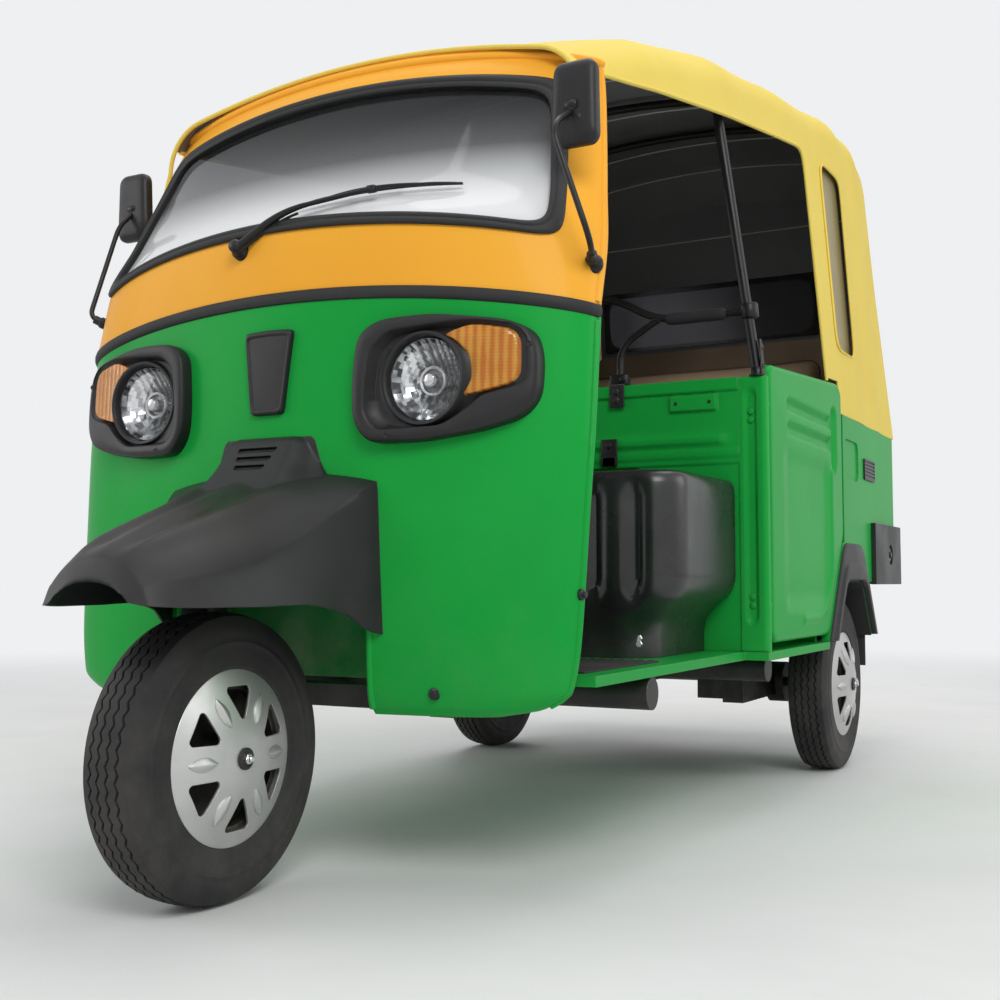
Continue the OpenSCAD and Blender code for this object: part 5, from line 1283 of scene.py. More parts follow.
hood = {
    "front": 0.432, "rear": 2.772, "frontCrown": 1.652, "crown": 2.107, "low": 1.052, "frontHalf": 0.520,
    "rearHalf": 0.600, "waistHalf": 0.655, "shoulder": 0.110, "rise": 0.046, "turn": 78.0, "lean": 0.095,
    "leanPower": 6, "cloth": 0.004, "sag": 0.005,
    "rows": [  # share of the length, crown share, width share
        (0.0, 0.0, 0.0), (0.15, 0.34, 0.31), (0.328, 0.585, 0.56), (0.508, 0.76, 0.74), (0.628, 0.86, 0.82),
        (0.777, 0.985, 0.94), (0.885, 1.0, 1.0), (0.962, 0.935, 1.0), (0.988, 0.79, 0.95), (1.0, 0.60, 0.86)],
    "bows": (0.0, 0.333, 0.55, 0.777, 0.885, 1.0), "seams": (0.42, 0.64, 0.875, 0.963), "wallSeam": 1.830,
    "opening": [(-1.0, 0.9), (1.850, 0.9), (1.850, 1.818), (1.200, 1.700), (0.498, 1.562), (-1.0, 1.27)],
    "quarter": (2.025, 2.250, 1.252, 1.832), "rearWindow": (-0.400, 0.400, 1.450, 1.650), "corner": 0.050, "lap": 0.012,
    "doorCut": [(1.20, 0.5), (2.003, 0.5), (2.003, 1.150), (1.20, 1.100)], "flat": (2.75, 3.05),
    "trim": (1.056, 1.425), "sideTrim": (2.010, 2.748, 1.245),
}


def lookUp(rows, key, column):
    for a, b in zip(rows, rows[1:]):
        if key <= b[0]:
            return mixed(a[column], b[column], held((key - a[0]) / (b[0] - a[0])))
    return rows[-1][column]


def softLook(key, column, reach=0.012):
    found = [lookUp(hood["rows"], held(key + reach * k / 3), column) for k in range(-3, 4)]
    return sum(found) / len(found)


def hoodHalf(share, inset, side=14, bend=14, roof=22):  # from the waist up to the crown
    crown = hood["frontCrown"] + softLook(share, 1) * (hood["crown"] - hood["frontCrown"])
    half = hood["frontHalf"] + softLook(share, 2) * (hood["rearHalf"] - hood["frontHalf"])
    midX, midZ = half - hood["shoulder"], crown - hood["rise"] - hood["shoulder"]
    r, turn = hood["shoulder"] - inset, math.radians(hood["turn"])
    path = [(mixed(hood["waistHalf"] - inset, midX + r, k / side), mixed(hood["low"], midZ, k / side))
            for k in range(side)]
    path += [(midX + r * math.cos(turn * k / bend), midZ + r * math.sin(turn * k / bend)) for k in range(bend + 1)]
    endX, endZ, top = midX + r * math.cos(turn), midZ + r * math.sin(turn), crown - inset
    path += [(endX * (1 - k / roof), top - (top - endZ) * (1 - k / roof) ** 2) for k in range(1, roof + 1)]
    return path


def hoodPlace(share, x, z):
    lean = hood["lean"] * share ** hood["leanPower"] * (z - hood["low"]) / (hood["crown"] - hood["low"])
    return at(x, mixed(hood["front"], hood["rear"], share) - lean, z)


def hoodRow(share, inset):
    between = [(a, b) for a, b in zip(hood["bows"], hood["bows"][1:]) if a <= share <= b][0]
    local = (share - between[0]) / (between[1] - between[0])
    slack = hood["sag"] * math.sin(math.pi * local) ** 2
    half = hoodHalf(share, inset + slack)
    left = [hoodPlace(share, x, z) for x, z in half]
    return [Vector((-p.x, p.y, p.z)) for p in left] + list(reversed(left))[1:]


def boxLoop(low, high, bottom, top, corner):
    return rounder([Vector(p) for p in ((low, bottom), (high, bottom), (high, top), (low, top))], corner * 1.5, 160)


def hemOf(name, path, radius=0.005):
    return tubeOf(name, path, radius, 10)


def sideHalf(setback, z, inset):  # how far out the hood's side is at a place
    share = held((setback - hood["front"]) / (hood["rear"] - hood["front"]))
    half = hoodHalf(share, inset)
    for (x1, z1), (x2, z2) in zip(half, half[1:]):
        if z1 <= z <= z2:
            return mixed(x1, x2, (z - z1) / max(z2 - z1, 1e-6))
    return half[-1][0]


def linedCloth(name, outer, inner):  # yellow outside, dark inside
    cloth = shellOf(name, outer, inner)
    count = len(outer) * len(outer[0])
    for look in ("hood", "lining"):
        cloth.data.materials.append(finish[look])
    for face in cloth.data.polygons:
        face.material_index = 1 if min(face.vertices) >= count else 0
    return cloth


def makeHood():
    shares = sorted(set([k / 150 for k in range(151)] + [row[0] for row in hood["rows"]]))
    outer = [hoodRow(s, 0.0) for s in shares]
    inner = [hoodRow(s, hood["cloth"]) for s in shares]
    cover = linedCloth("hoodCover", outer, inner)
    opening = rounder([Vector(p) for p in hood["opening"]], 0.09, 400)
    cuts = [prismOf("openingCut", opening, -1.0, 1.0, "X")]
    cuts.append(prismOf("quarterCut", boxLoop(*hood["quarter"], hood["corner"]), -1.0, 1.0, "X"))
    cuts.append(prismOf("doorCut", hood["doorCut"], 0.3, 1.0, "X"))
    cutBy(cover, cuts)

    half = hoodHalf(1.0, 0.003)
    wallRows = [[(x * (2 * k / 40 - 1), z) for k in range(41)] for x, z in half[:-1]]
    face = [[hoodPlace(1.0, x, z) - Vector((0, 0.001, 0)) for x, z in row] for row in wallRows]
    behind = [[p - Vector((0, hood["cloth"], 0)) for p in row] for row in face]
    wall = linedCloth("hoodRear", face, behind)
    cutBy(wall, [prismOf("rearCut", boxLoop(*hood["rearWindow"], hood["corner"]), 2.3, 3.2)])
    canvas = smoothed(mergedOf("hoodCanvas", [cover, wall]), 45)
    placed(canvas, "body", "hood_cloth", "canopy")

    hems = []
    edge = [p for p in opening if 0.45 < p.x < 1.852 and p.y > 1.13]
    edge.sort(key=lambda p: (p.x if p.x < 1.84 else 1.84 + (2.0 - p.y), -p.y))
    for side in (-1, 1):
        path = [at(side * sideHalf(p.x, p.y, 0.002), p.x, p.y) for p in edge]
        hems.append(hemOf("openingHem", path))
        loop = boxLoop(*hood["quarter"], hood["corner"])
        path = [at(side * sideHalf(p.x, p.y, 0.001), p.x, p.y) for p in loop + loop[:1]]
        hems.append(hemOf("quarterHem", path, 0.0035))
    loop = boxLoop(*hood["rearWindow"], hood["corner"])
    hems.append(hemOf("rearHem", [hoodPlace(1.0, p.x, p.y) for p in loop + loop[:1]], 0.004))
    hems.append(hemOf("frontHem", hoodRow(0.0, 0.002)[10:-10], 0.005))
    hems = joined("hoodHems", hems, "hood", "hood_cloth", angle=60)

    seams = [tubeOf("liningSeam", hoodRow(s, 0.0065)[16:-16], 0.0024, 8) for s in hood["seams"]]
    reach = sideHalf(hood["rear"], hood["wallSeam"], 0.010)
    line = [hoodPlace(1.0, reach * (k / 20 - 1), hood["wallSeam"]) - Vector((0, 0.0065, 0)) for k in range(41)]
    seams.append(tubeOf("wallSeam", line, 0.0024, 8))
    seams = joined("liningSeams", seams, "seam", "hood_cloth", angle=60)

    crownOut = list(reversed(hoodHalf(0.006, hood["cloth"])))

    def underHood(x):  # height of the front bow's underside
        for (x1, z1), (x2, z2) in zip(crownOut, crownOut[1:]):
            if x1 <= x <= x2:
                return mixed(z1, z2, (x - x1) / max(x2 - x1, 1e-6))
        return crownOut[-1][1]
    rows = [[], [], []]
    for t in noseTurns(91)[16:-16]:
        foot = nosePoint(True, 0.985, t, -0.001)
        bow = at(foot.x, hood["front"] + 0.005, underHood(abs(foot.x)))
        lip = Vector((foot.x, max(foot.y + 0.002, bow.y), max(bow.z, foot.z + 0.002)))
        for k, row in enumerate(rows):
            row.append(foot.lerp(lip, k / 2))
    inner = [[p + Vector((0, 0.003, 0)) for p in row] for row in rows]
    finished(shellOf("headerFlange", rows, inner), "orange", "orange_paint", angle=60)

    films, trims = [], []
    lap = hood["lap"]
    front, rear, low, high = hood["quarter"]
    for side in (-1, 1):
        films.append(shellOf("quarterFilm", *(
            [[at(side * sideHalf(y, z, inset), y, z) for y in spread(front - lap, rear + lap, 10)]
             for z in spread(low - lap, high + lap, 20)] for inset in (0.0155, 0.0175))))
    joined("quarterFilms", films, "film", "window_film", "hood_windows", angle=60)
    left, right, low, high = hood["rearWindow"]
    film = shellOf("rearFilm", *(
        [[hoodPlace(1.0, x, z) - Vector((0, back, 0)) for x in spread(left - lap, right + lap, 24)]
         for z in spread(low - lap, high + lap, 8)] for back in (0.014, 0.016)))
    finished(film, "darkFilm", "window_film", angle=60)

    low, high = hood["trim"]
    trims.append(shellOf("rearTrim", *(
        [[hoodPlace(1.0, x * sideHalf(hood["rear"], z, 0.022), z) - Vector((0, back, 0)) for x in spread(-1, 1, 30)]
         for z in spread(low, high, 8)] for back in (0.009, 0.012))))
    front, rear, high = hood["sideTrim"]
    for side in (-1, 1):
        trims.append(shellOf("sideTrim", *(
            [[at(side * sideHalf(y, z, inset), y - 0.09 * (z - low) * eased(2.4, 2.76, y), z)
              for y in spread(front, rear, 16)] for z in spread(low, high, 6)] for inset in (0.0085, 0.0115))))
    joined("hoodTrim", trims, "trim", "seat_cover", angle=60)


makeHood()

# hood poles, bows and the grab rail

rail = {"radius": 0.0095, "poleZ": 1.211, "split": 0.376, "upper": (0.262, 1.281), "lower": (0.276, 1.152),
        "foam": (0.400, 0.560), "foamRadius": 0.0155}
poles = {"setback": 1.212, "radius": 0.012, "foot": 0.633, "top": 0.583, "rise": 0.7, "inset": 0.032, "waist": 1.050}


def makePoles():
    tubes = []
    for share in ((poles["setback"] - hood["front"]) / (hood["rear"] - hood["front"]), 0.55, 0.777):
        half = hoodHalf(share, poles["inset"])[14:]
        y = mixed(hood["front"], hood["rear"], share)
        left = [at(x, y, z) for x, z in half]
        if share < 0.4:
            left = [at(poles["foot"], y, poles["waist"] + 0.002)] + left
        path = [Vector((-p.x, p.y, p.z)) for p in left] + list(reversed(left))[1:]
        tubes.append(tubeOf("bow", path, poles["radius"], 16))
    for side in (-1, 1):
        foot = at(side * poles["foot"], poles["setback"], poles["waist"])
        tubes.append(turnedPart("poleSocket", foot, upward, 28))
    joined("hoodBows", tubes, "satin", "black_paint", "hood_frame", angle=50)

    y = poles["setback"]
    tubes, foams = [], []
    poleX = poles["foot"] + (poles["top"] - poles["foot"]) * (rail["poleZ"] - poles["waist"]) / poles["rise"]
    forked = ((poleX - 0.014, rail["poleZ"]), (rail["split"], rail["poleZ"]), rail["upper"])
    upper = [at(-x, y, z) for x, z in forked] + [at(x, y, z) for x, z in reversed(forked)]
    tubes.append(tubeOf("railUpper", bentPath(upper, 0.06), rail["radius"], 18))
    for side in (-1, 1):
        leg = [at(side * x, y, z) for x, z in ((rail["split"] + 0.01, rail["poleZ"]), (rail["split"], rail["poleZ"]),
                                               rail["lower"], (rail["lower"][0], poles["waist"] + 0.001))]
        tubes.append(tubeOf("railLeg", bentPath(leg, 0.05), rail["radius"] - 0.001, 18))
        x = side * rail["lower"][0]
        tubes.append(softBlock("legClamp", (0.046, 0.032, 0.030), at(x, y, poles["waist"] + 0.016), 0.004))
        tubes.append(turnedPart("clampBolt", at(x + 0.014, y - 0.016, poles["waist"] + 0.016), forward, 6))
        tubes.append(turnedPart("poleClamp", at(side * (poleX - 0.006), y, rail["poleZ"]), (0.08 * side, 0, -1), 24))
        radii = [rail["foamRadius"] * (1 - 0.5 * (2 * k / 24 - 1) ** 12) + 0.0007 * math.sin(k * 2.4)
                 for k in range(25)]
        line = [at(side * x, y, rail["poleZ"]) for x in spread(*rail["foam"], 24)]
        foams.append(tubeOf("railFoam", line, 0, 20, radii))
    joined("grabRail", tubes, "satin", "black_paint", "grab_rail", angle=50)
    joined("railFoams", foams, "foam", "black_rubber", angle=60)
    print("poles and rail built")


makePoles()

# seats, puffed up by cloth

seats = {"pressure": 4.0, "frames": 20, "voxel": 0.013, "cap": 0.020, "slack": 0.012, "piping": 0.0045}
driverSeat = {"cushion": (0.520, 0.390, 0.100), "cushionAt": (0, 0.9395, 0.850), "pad": (0.520, 0.048, 0.230),
              "padAt": (0, 1.1735, 1.205)}
benchSeat = {"cushion": (1.182, 0.520, 0.130), "cushionAt": (0, 2.060, 0.795), "back": (1.000, 0.110, 0.600),
             "foot": (0, 2.430, 0.739), "lean": 9.0}


def puffed(name, size, place, turn, edge, rests, cap=None):
    cap = cap or seats["cap"]
    axis, sign = rests
    slack = seats["slack"]
    inner = [s - 2 * min(slack, s * 0.16) for s in size]
    blank = softBlock(name, inner, (0, 0, 0), min(edge, min(size) * 0.34), None, 4)
    remesh = blank.modifiers.new("skin", "REMESH")
    remesh.mode = "VOXEL"
    remesh.voxel_size = seats["voxel"] if min(size) > 0.06 else 0.009
    applied(blank)
    start = [v.co.copy() for v in blank.data.vertices]
    cloth = blank.modifiers.new("puff", "CLOTH")
    cloth.settings.use_pressure = True
    cloth.settings.uniform_pressure_force = seats["pressure"]
    cloth.settings.quality = 4
    cloth.settings.tension_stiffness = 18
    cloth.settings.compression_stiffness = 18
    cloth.settings.effector_weights.gravity = 0
    cloth.point_cache.frame_end = seats["frames"]
    for step in range(1, seats["frames"] + 1):
        scene.frame_set(step)
    applied(blank)
    scene.frame_set(1)
    half = [s / 2 for s in size]
    for v, old in zip(blank.data.vertices, start):
        move = v.co - old
        if move.length > cap:
            move = move.normalized() * cap
        v.co = old + move
        for i in range(3):  # stays in the room its frame leaves it
            v.co[i] = held(v.co[i], -half[i] + 0.001, half[i] - 0.001)
        if sign * (old[axis] - sign * (half[axis] - slack - 0.004)) > 0:  # flat where it rests
            v.co[axis] = sign * (half[axis] - 0.0015)
    skin = blank.modifiers.new("finer", "SUBSURF")
    skin.levels = 1
    applied(blank)
    for v in blank.data.vertices:
        v.co = place + turn @ v.co
    return blank


def pipingOn(piece, place, turn, size, edge, axis, level):  # a welt laid on the puffed skin at one level
    build = bmesh.new()
    build.from_mesh(piece.data)
    tree = BVHTree.FromBMesh(build)
    build.free()
    others = [i for i in range(3) if i != axis]
    a, b = (size[i] / 2 for i in others)
    outline = evenly(roundedOutline([(-a, -b), (a, -b), (a, b), (-a, b)], edge * 1.6, 6), 120)
    path = []
    for p in outline:
        spot = Vector((0, 0, 0))
        spot[others[0]], spot[others[1]], spot[axis] = p[0], p[1], level
        found = tree.find_nearest(Vector(place) + turn @ spot)
        path.append(found[0] + found[1] * seats["piping"] * 0.35)
    path.append(path[0])
    return tubeOf("piping", path, seats["piping"], 8)


def makeSeats():
    plain = Matrix.Identity(3)
    lean = Matrix.Rotation(math.radians(-benchSeat["lean"]), 3, "X")
    leant = at(*benchSeat["foot"]) + lean @ Vector((0, 0, benchSeat["back"][2] / 2))
    rows = (  # name, size, place, turn, edge, resting side, cap, welt bend and inset, node, fill
        ("driverCushion", driverSeat["cushion"], at(*driverSeat["cushionAt"]), plain, 0.034, (2, -1), None, 0.05, 0.022,
         ["driver_seat"], 0.75),
        ("driverPad", driverSeat["pad"], at(*driverSeat["padAt"]), plain, 0.016, (1, 1), 0.012, 0.03, 0.014, [], 0.8),
        ("benchCushion", benchSeat["cushion"], at(*benchSeat["cushionAt"]), plain, 0.042, (2, -1), None, 0.06, 0.028,
         ["passenger_seat"], 0.7),
        ("benchBack", benchSeat["back"], leant, lean, 0.05, (1, 1), None, 0.09, 0.026, [], 0.7))
    welts = []
    for name, size, place, turn, edge, rests, cap, bend, inset, nodes, fill in rows:
        cushion = puffed(name, size, place, turn, edge, rests, cap)
        axis, sign = rests
        welts.append(pipingOn(cushion, place, turn, size, bend, axis, -sign * (size[axis] / 2 - inset)))
        finished(cushion, "seat", "seat_cover", *nodes, angle=80)
    joined("seatPiping", welts, "piping", "seat_cover", angle=80)
    print("seats puffed and piped")


makeSeats()

# moulded seat box

seatBox = {"front": 0.780, "rear": 1.1885, "half": 0.580, "low": 0.3903, "high": 0.7995, "corner": 0.084, "columns": 12,
           "depth": 0.024}
boxRows = [  # height, half width, lead back, column share
    (0.0, 0.862, 0.040, 0.0), (0.10, 0.862, 0.037, 0.0), (0.18, 0.872, 0.028, 0.05), (0.27, 0.920, 0.012, 0.35),
    (0.36, 0.985, 0.002, 0.85), (0.44, 1.0, 0.0, 1.0), (0.84, 1.0, 0.0, 1.0), (0.92, 1.0, 0.001, 0.55),
    (0.965, 0.995, 0.006, 0.12), (0.99, 0.984, 0.014, 0.0), (1.0, 0.968, 0.030, 0.0)]


def makeSeatBox():
    rowAt = tableCurve(boxRows)
    heights = sorted(set([k / 44 for k in range(45)] + [0.93, 0.95, 0.97, 0.985, 0.993, 0.998]))
    steps = 120
    loops = []
    for share in heights:
        halfShare, lead, flute = rowAt(share)
        half = seatBox["half"] * halfShare
        z = mixed(seatBox["low"], seatBox["high"], share)
        ring = []
        for k in range(steps + 1):
            x = -half * math.cos(math.pi * k / steps)
            past = max(0.0, abs(x) - (half - seatBox["corner"]))
            wave = abs(math.sin(math.pi / 2 * seatBox["columns"] * x / seatBox["half"]))
            groove = flute * seatBox["depth"] * (1 - wave) * (1 - eased(0.0, seatBox["corner"], past))
            bend = seatBox["corner"] - math.sqrt(max(0, seatBox["corner"] ** 2 - past * past))
            ring.append(at(x, seatBox["front"] + lead + groove + bend, z))
        ring += [at(half, seatBox["rear"], z), at(-half, seatBox["rear"], z)]
        loops.append(ring)
    box = loftOf("seatBox", loops)
    bolts = []
    for side in (-1, 1):
        for share in (0.075, 0.105):
            place = at(side * 0.470, seatBox["front"] + 0.061, mixed(seatBox["low"], seatBox["high"], share))
            bolts.append(turnedPart("boxBolt", place, (0.3 * side, -1, 0), 6))
    joined("seatBox", [box], "tub", "black_plastic", "seat_box", angle=50)
    joined("seatBoxBolts", bolts, "bright", "rim_steel", angle=30)
    print("seat box built")


makeSeatBox()

# pressed panels are grids whose depth follows a drawing of the pressings

def ridge(value, middle, half, soft):
    return 1 - eased(half - soft, half + soft, abs(value - middle))


def slotDepth(y, z, start, end, radius, soft):  # soft groove along a line between two points
    px, py, ax, ay = y - start[0], z - start[1], end[0] - start[0], end[1] - start[1]
    t = held((px * ax + py * ay) / (ax * ax + ay * ay or 1))
    away = math.hypot(px - ax * t, py - ay * t)
    return 1 - eased(radius - soft, radius + soft, away)


def denseSteps(low, high, count, ends, extra):  # even steps with closer ones near both ends
    places = [mixed(low, high, k / count) for k in range(count + 1)]
    close = [ends * (k / extra) ** 2 for k in range(1, extra + 1)]
    return sorted(set(places + [low + c for c in close] + [high - c for c in close]))


door = {"front": 1.2385, "rear": 1.9925, "low": 0.4085, "topFront": 1.0845, "topRear": 1.1385, "corner": 0.042,
        "rearCorner": 0.060, "face": 0.655, "crown": 0.003, "edge": 0.014, "thick": 0.034, "press": 0.011,
        "arch": ((1.778, 0.4085), (1.812, 0.4265), (1.986, 0.693)),  # lower edge along the wheel arch
        "slots": (((1.400, 1.005), (1.850, 1.005), 0.013, 0.006), ((1.400, 0.944), (1.850, 0.944), 0.013, 0.006),
                  ((1.880, 1.022), (1.880, 0.900), 0.030, 0.010)),  # ends, radius, softness
        "lip": ((1.842, 0.860), (1.842, 0.640), 0.009, 0.009)}


def doorTop(y):
    top = mixed(door["topFront"], door["topRear"], (y - door["front"]) / (door["rear"] - door["front"]))
    for edge, corner in ((y - door["front"], door["corner"]), (door["rear"] - y, door["rearCorner"])):
        if edge < corner:
            top -= corner - math.sqrt(max(0, corner ** 2 - (corner - edge) ** 2))
    return top


def doorFoot(y):
    foot = door["low"]
    edge = y - door["front"]
    if edge < door["corner"]:
        foot += door["corner"] - math.sqrt(max(0, door["corner"] ** 2 - (door["corner"] - edge) ** 2))
    (start, low), (bend, mid), (end, top) = door["arch"]
    if y > start:
        curved = low + (mid - low) * ((y - start) / (bend - start)) ** 2
        foot = max(foot, curved if y < bend else mixed(mid, top, (y - bend) / (end - bend)))
        foot += 0.020 * eased(1.978, door["rear"], y)
    return foot


def doorDepth(y, z):
    depth = max(slotDepth(y, z, *slot) for slot in door["slots"])
    hollow = ridge(y, 1.590, 0.215, 0.035) * ridge(z, 0.690, 0.190, 0.030)
    corner = eased(0.16, 0.30, math.hypot(max(0, y - 1.64), max(0, 0.66 - z)))
    depth = max(depth, 0.75 * hollow * (1 - corner))
    lip = slotDepth(y, z, *door["lip"])
    if y > 1.52 and z < 0.645:  # the lip bends round the hollow's lower corner
        lip = max(lip, 1 - eased(0.0, 0.018, abs(math.hypot(max(0, y - 1.66), max(0, 0.64 - z)) - 0.182)))
    return depth - 0.45 * lip


def makeDoor():
    columns = denseSteps(door["front"], door["rear"], 84, 0.045, 9)
    outer, inner = [], []
    shares = denseSteps(0.0, 1.0, 84, 0.06, 9)
    for y in columns:
        low, high = doorFoot(y), doorTop(y)
        line, back = [], []
        for share in shares:
            z = mixed(low, high, share)
            rim = min(y - door["front"], door["rear"] - y, z - low, high - z)
            drop = door["edge"] - math.sqrt(max(0, door["edge"] ** 2 - max(0, door["edge"] - rim) ** 2))
            swell = door["crown"] * eased(0.0, 0.20, rim)
            line.append(at(door["face"] + swell - drop - door["press"] * doorDepth(y, z), y, z))
            back.append(at(door["face"] - door["thick"] + 0.002 + min(0.006, drop), y, z))
        outer.append(line)
        inner.append(back)
    panel = shellOf("doorPanel", outer, inner)
    finished(panel, "green", "green_paint", "passenger_door", body="passenger_door", angle=60)
    print("door pressed")


makeDoor()

# bulkhead panel with its rail, beads and posts

wall = {"front": 1.200, "rear": 1.224, "low": 0.3903, "high": 1.050, "half": 0.5885, "postRear": 1.226,
        "postHalf": (0.589, 0.655), "postBolts": (0.6165, (0.500, 0.520, 0.945, 0.965)), "bracket": (0.475, 0.994),
        "clips": (0.255, 0.880, 0.070),
        "edgesX": (0.415, 0.535, 0.055, 0.325), "edgesZ": (1.019, 0.902, 0.868, 0.974, 1.014, 0.842, 0.713, 0.837)}


def wallProud(x, z):
    proud = 0.007 * eased(1.016, 1.022, z)
    proud += 0.009 * ridge(z, 0.902, 0.012, 0.008) * eased(0.0, 0.02, 0.562 - abs(x))
    proud += 0.004 * ridge(z, 0.868, 0.010, 0.005)
    proud -= 0.004 * eased(0.845, 0.838, z)
    proud += 0.010 * ridge(x, wall["bracket"][0], 0.060, 0.002) * ridge(z, wall["bracket"][1], 0.0195, 0.002)
    proud -= 0.013 * ridge(x, 0.190, 0.135, 0.006) * ridge(z, 0.775, 0.062, 0.006)
    return proud


def makeBulkhead():
    near = (-0.012, -0.006, -0.002, 0.002, 0.006, 0.012)  # closer steps at each pressing's edge
    xs = sorted(set(spread(-wall["half"], wall["half"], 96) + [c + d for c in wall["edgesX"] for d in near[1:-1]]))
    zs = sorted(set(spread(wall["low"], wall["high"], 60) + [c + d for c in wall["edgesZ"] for d in near]))
    zs = [z for z in zs if wall["low"] <= z <= wall["high"]]
    front = [[at(x, wall["front"] - wallProud(x, z), z) for x in xs] for z in zs]
    rear = [[at(x, wall["rear"], z) for x in xs] for z in zs]
    parts = [shellOf("bulkheadPanel", front, rear)]
    low, high = wall["postHalf"]
    boltX, boltRows = wall["postBolts"]
    heights = denseSteps(wall["low"], wall["high"], 90, 0.02, 5)
    for side in (-1, 1):
        loops = []
        for z in heights:
            ring = [at(side * low, wall["postRear"], z)]
            rim = min(z - wall["low"], wall["high"] - z)
            roll = 0.003 * (1 - eased(0.0, 0.004, rim))
            for k in range(25):
                x = mixed(low, high - 0.012, k / 24)
                groove = 0.008 * slotDepth(x, z, (boltX, 0.472), (boltX, 1.004), 0.0125, 0.005)
                ring.append(at(side * x, wall["front"] + roll + groove, z))
            for k in range(1, 7):
                s, c = math.sin(math.pi / 2 * k / 6), math.cos(math.pi / 2 * k / 6)
                ring.append(at(side * (high - 0.012 + 0.012 * s), wall["front"] + 0.012 - 0.012 * c + roll * c, z))
            ring.append(at(side * high, wall["postRear"], z))
            loops.append(ring)
        parts.append(loftOf("post", loops))
    joined("bulkheadPanels", parts, "green", "green_paint", "bulkhead", angle=50)

    holes, bolts, clips = [], [], []
    for side in (-1, 1):
        x, z = wall["bracket"]
        holes.append(turnedPart("bracketHole", at(x + side * 0.043, wall["front"] - 0.0098, z), forward, 20))
        for z in boltRows:
            bolts.append(turnedPart("postBolt", at(side * boltX, wall["front"] + 0.0075, z), forward, 16))
    out, z, tall = wall["clips"]
    for x in (out, -out):
        clips.append(softBlock("clipPlate", (0.044, 0.006, tall), at(x, wall["front"] - 0.0125, z), 0.002))
        clips.append(softBlock("clipFoot", (0.036, 0.012, 0.024), at(x, wall["front"] - 0.0095, z - 0.022), 0.002))
        clips.append(turnedPart("clipBolt", at(x, wall["front"] - 0.0150, z + 0.018), forward, 6))
    joined("bracketHoles", holes, "rubber", "black_rubber")
    joined("postBolts", bolts, "green", "green_paint")
    joined("bulkheadClips", clips, "satin", "black_paint")
    print("bulkhead pressed")


makeBulkhead()

# mirrors on bent rods

mirrorArms = {
    "left": ((0.592, 0.330, 1.128), (0.622, 0.250, 1.150), (0.560, 0.222, 1.357), (0.570, 0.300, 1.420)),
    "right": ((-0.592, 0.330, 1.128), (-0.628, 0.300, 1.150), (-0.624, 0.380, 1.378), (-0.622, 0.426, 1.432)),
    "rod": 0.0056,
    "outline": ((-0.030, -0.079), (0.036, -0.079), (0.0465, -0.066), (0.044, 0.079), (-0.040, 0.079),
                (-0.0465, -0.050)),
    "shell": ((-0.0125, 0.40), (-0.0124, 0.62), (-0.0115, 0.80), (-0.008, 0.93), (-0.003, 0.99), (0.002, 1.0),
              (0.0095, 1.0), (0.0125, 0.985), (0.0125, 0.93), (0.0095, 0.925)),
    "pane": ((0.0098, 0.90), (0.0112, 0.90), (0.0116, 0.88)),
}


def mirrorLoft(name, head, outline, rows):
    return loftOf(name, [[head + Vector((p.x * s, depth, p.y * s)) for p in outline] for depth, s in rows])


def makeMirrors():
    rods, heads, glasses = [], [], []
    for side in ("left", "right"):
        foot, bend, elbow, head = (at(*p) for p in mirrorArms[side])
        sign = 1 if side == "left" else -1
        out = (bend - foot).normalized()
        path = [foot + out * 0.004, bend, elbow, head + Vector((0, -0.004, -0.012))]
        rods.append(tubeOf("rod", bentPath(path, 0.045, 10), mirrorArms["rod"], 14))
        rods.append(turnedPart("rodFoot", foot, out, 28))
        rods.append(turnedPart("rodNut", foot, out, 6))
        rods.append(turnedPart("headBoss", elbow.lerp(head, 0.90), (1, 0, 0), 20))
        outline = evenly(roundedOutline([(sign * x, z) for x, z in mirrorArms["outline"]], 0.022, 8), 80)
        heads.append(mirrorLoft("mirrorShell", head, outline, mirrorArms["shell"]))
        for dx, dz in ((-0.012, -0.030), (0.012, -0.030)):
            heads.append(turnedPart("headScrew", head + Vector((sign * dx, -0.011, dz)), forward, 14))
        glasses.append(mirrorLoft("mirrorPane", head, outline, mirrorArms["pane"]))
    joined("mirrorRods", rods, "satin", "black_plastic", "mirrors", angle=50)
    joined("mirrorHeads", heads, "plastic", "black_plastic", angle=50)
    joined("mirrorPanes", glasses, "mirror", "glass", angle=30)
    print("mirrors built")


makeMirrors()

# wiper with a bridged blade

wiperArm = {"pivot": (-0.074, 1.196), "elbow": (0.030, 1.262), "middle": (0.198, 1.290),
            "ends": ((0.036, 1.274), (0.362, 1.292)), "lift": 0.022}


def overGlass(x, z, lift):
    return at(x, noseFront(x, z, 0.0, True) - lift, z)


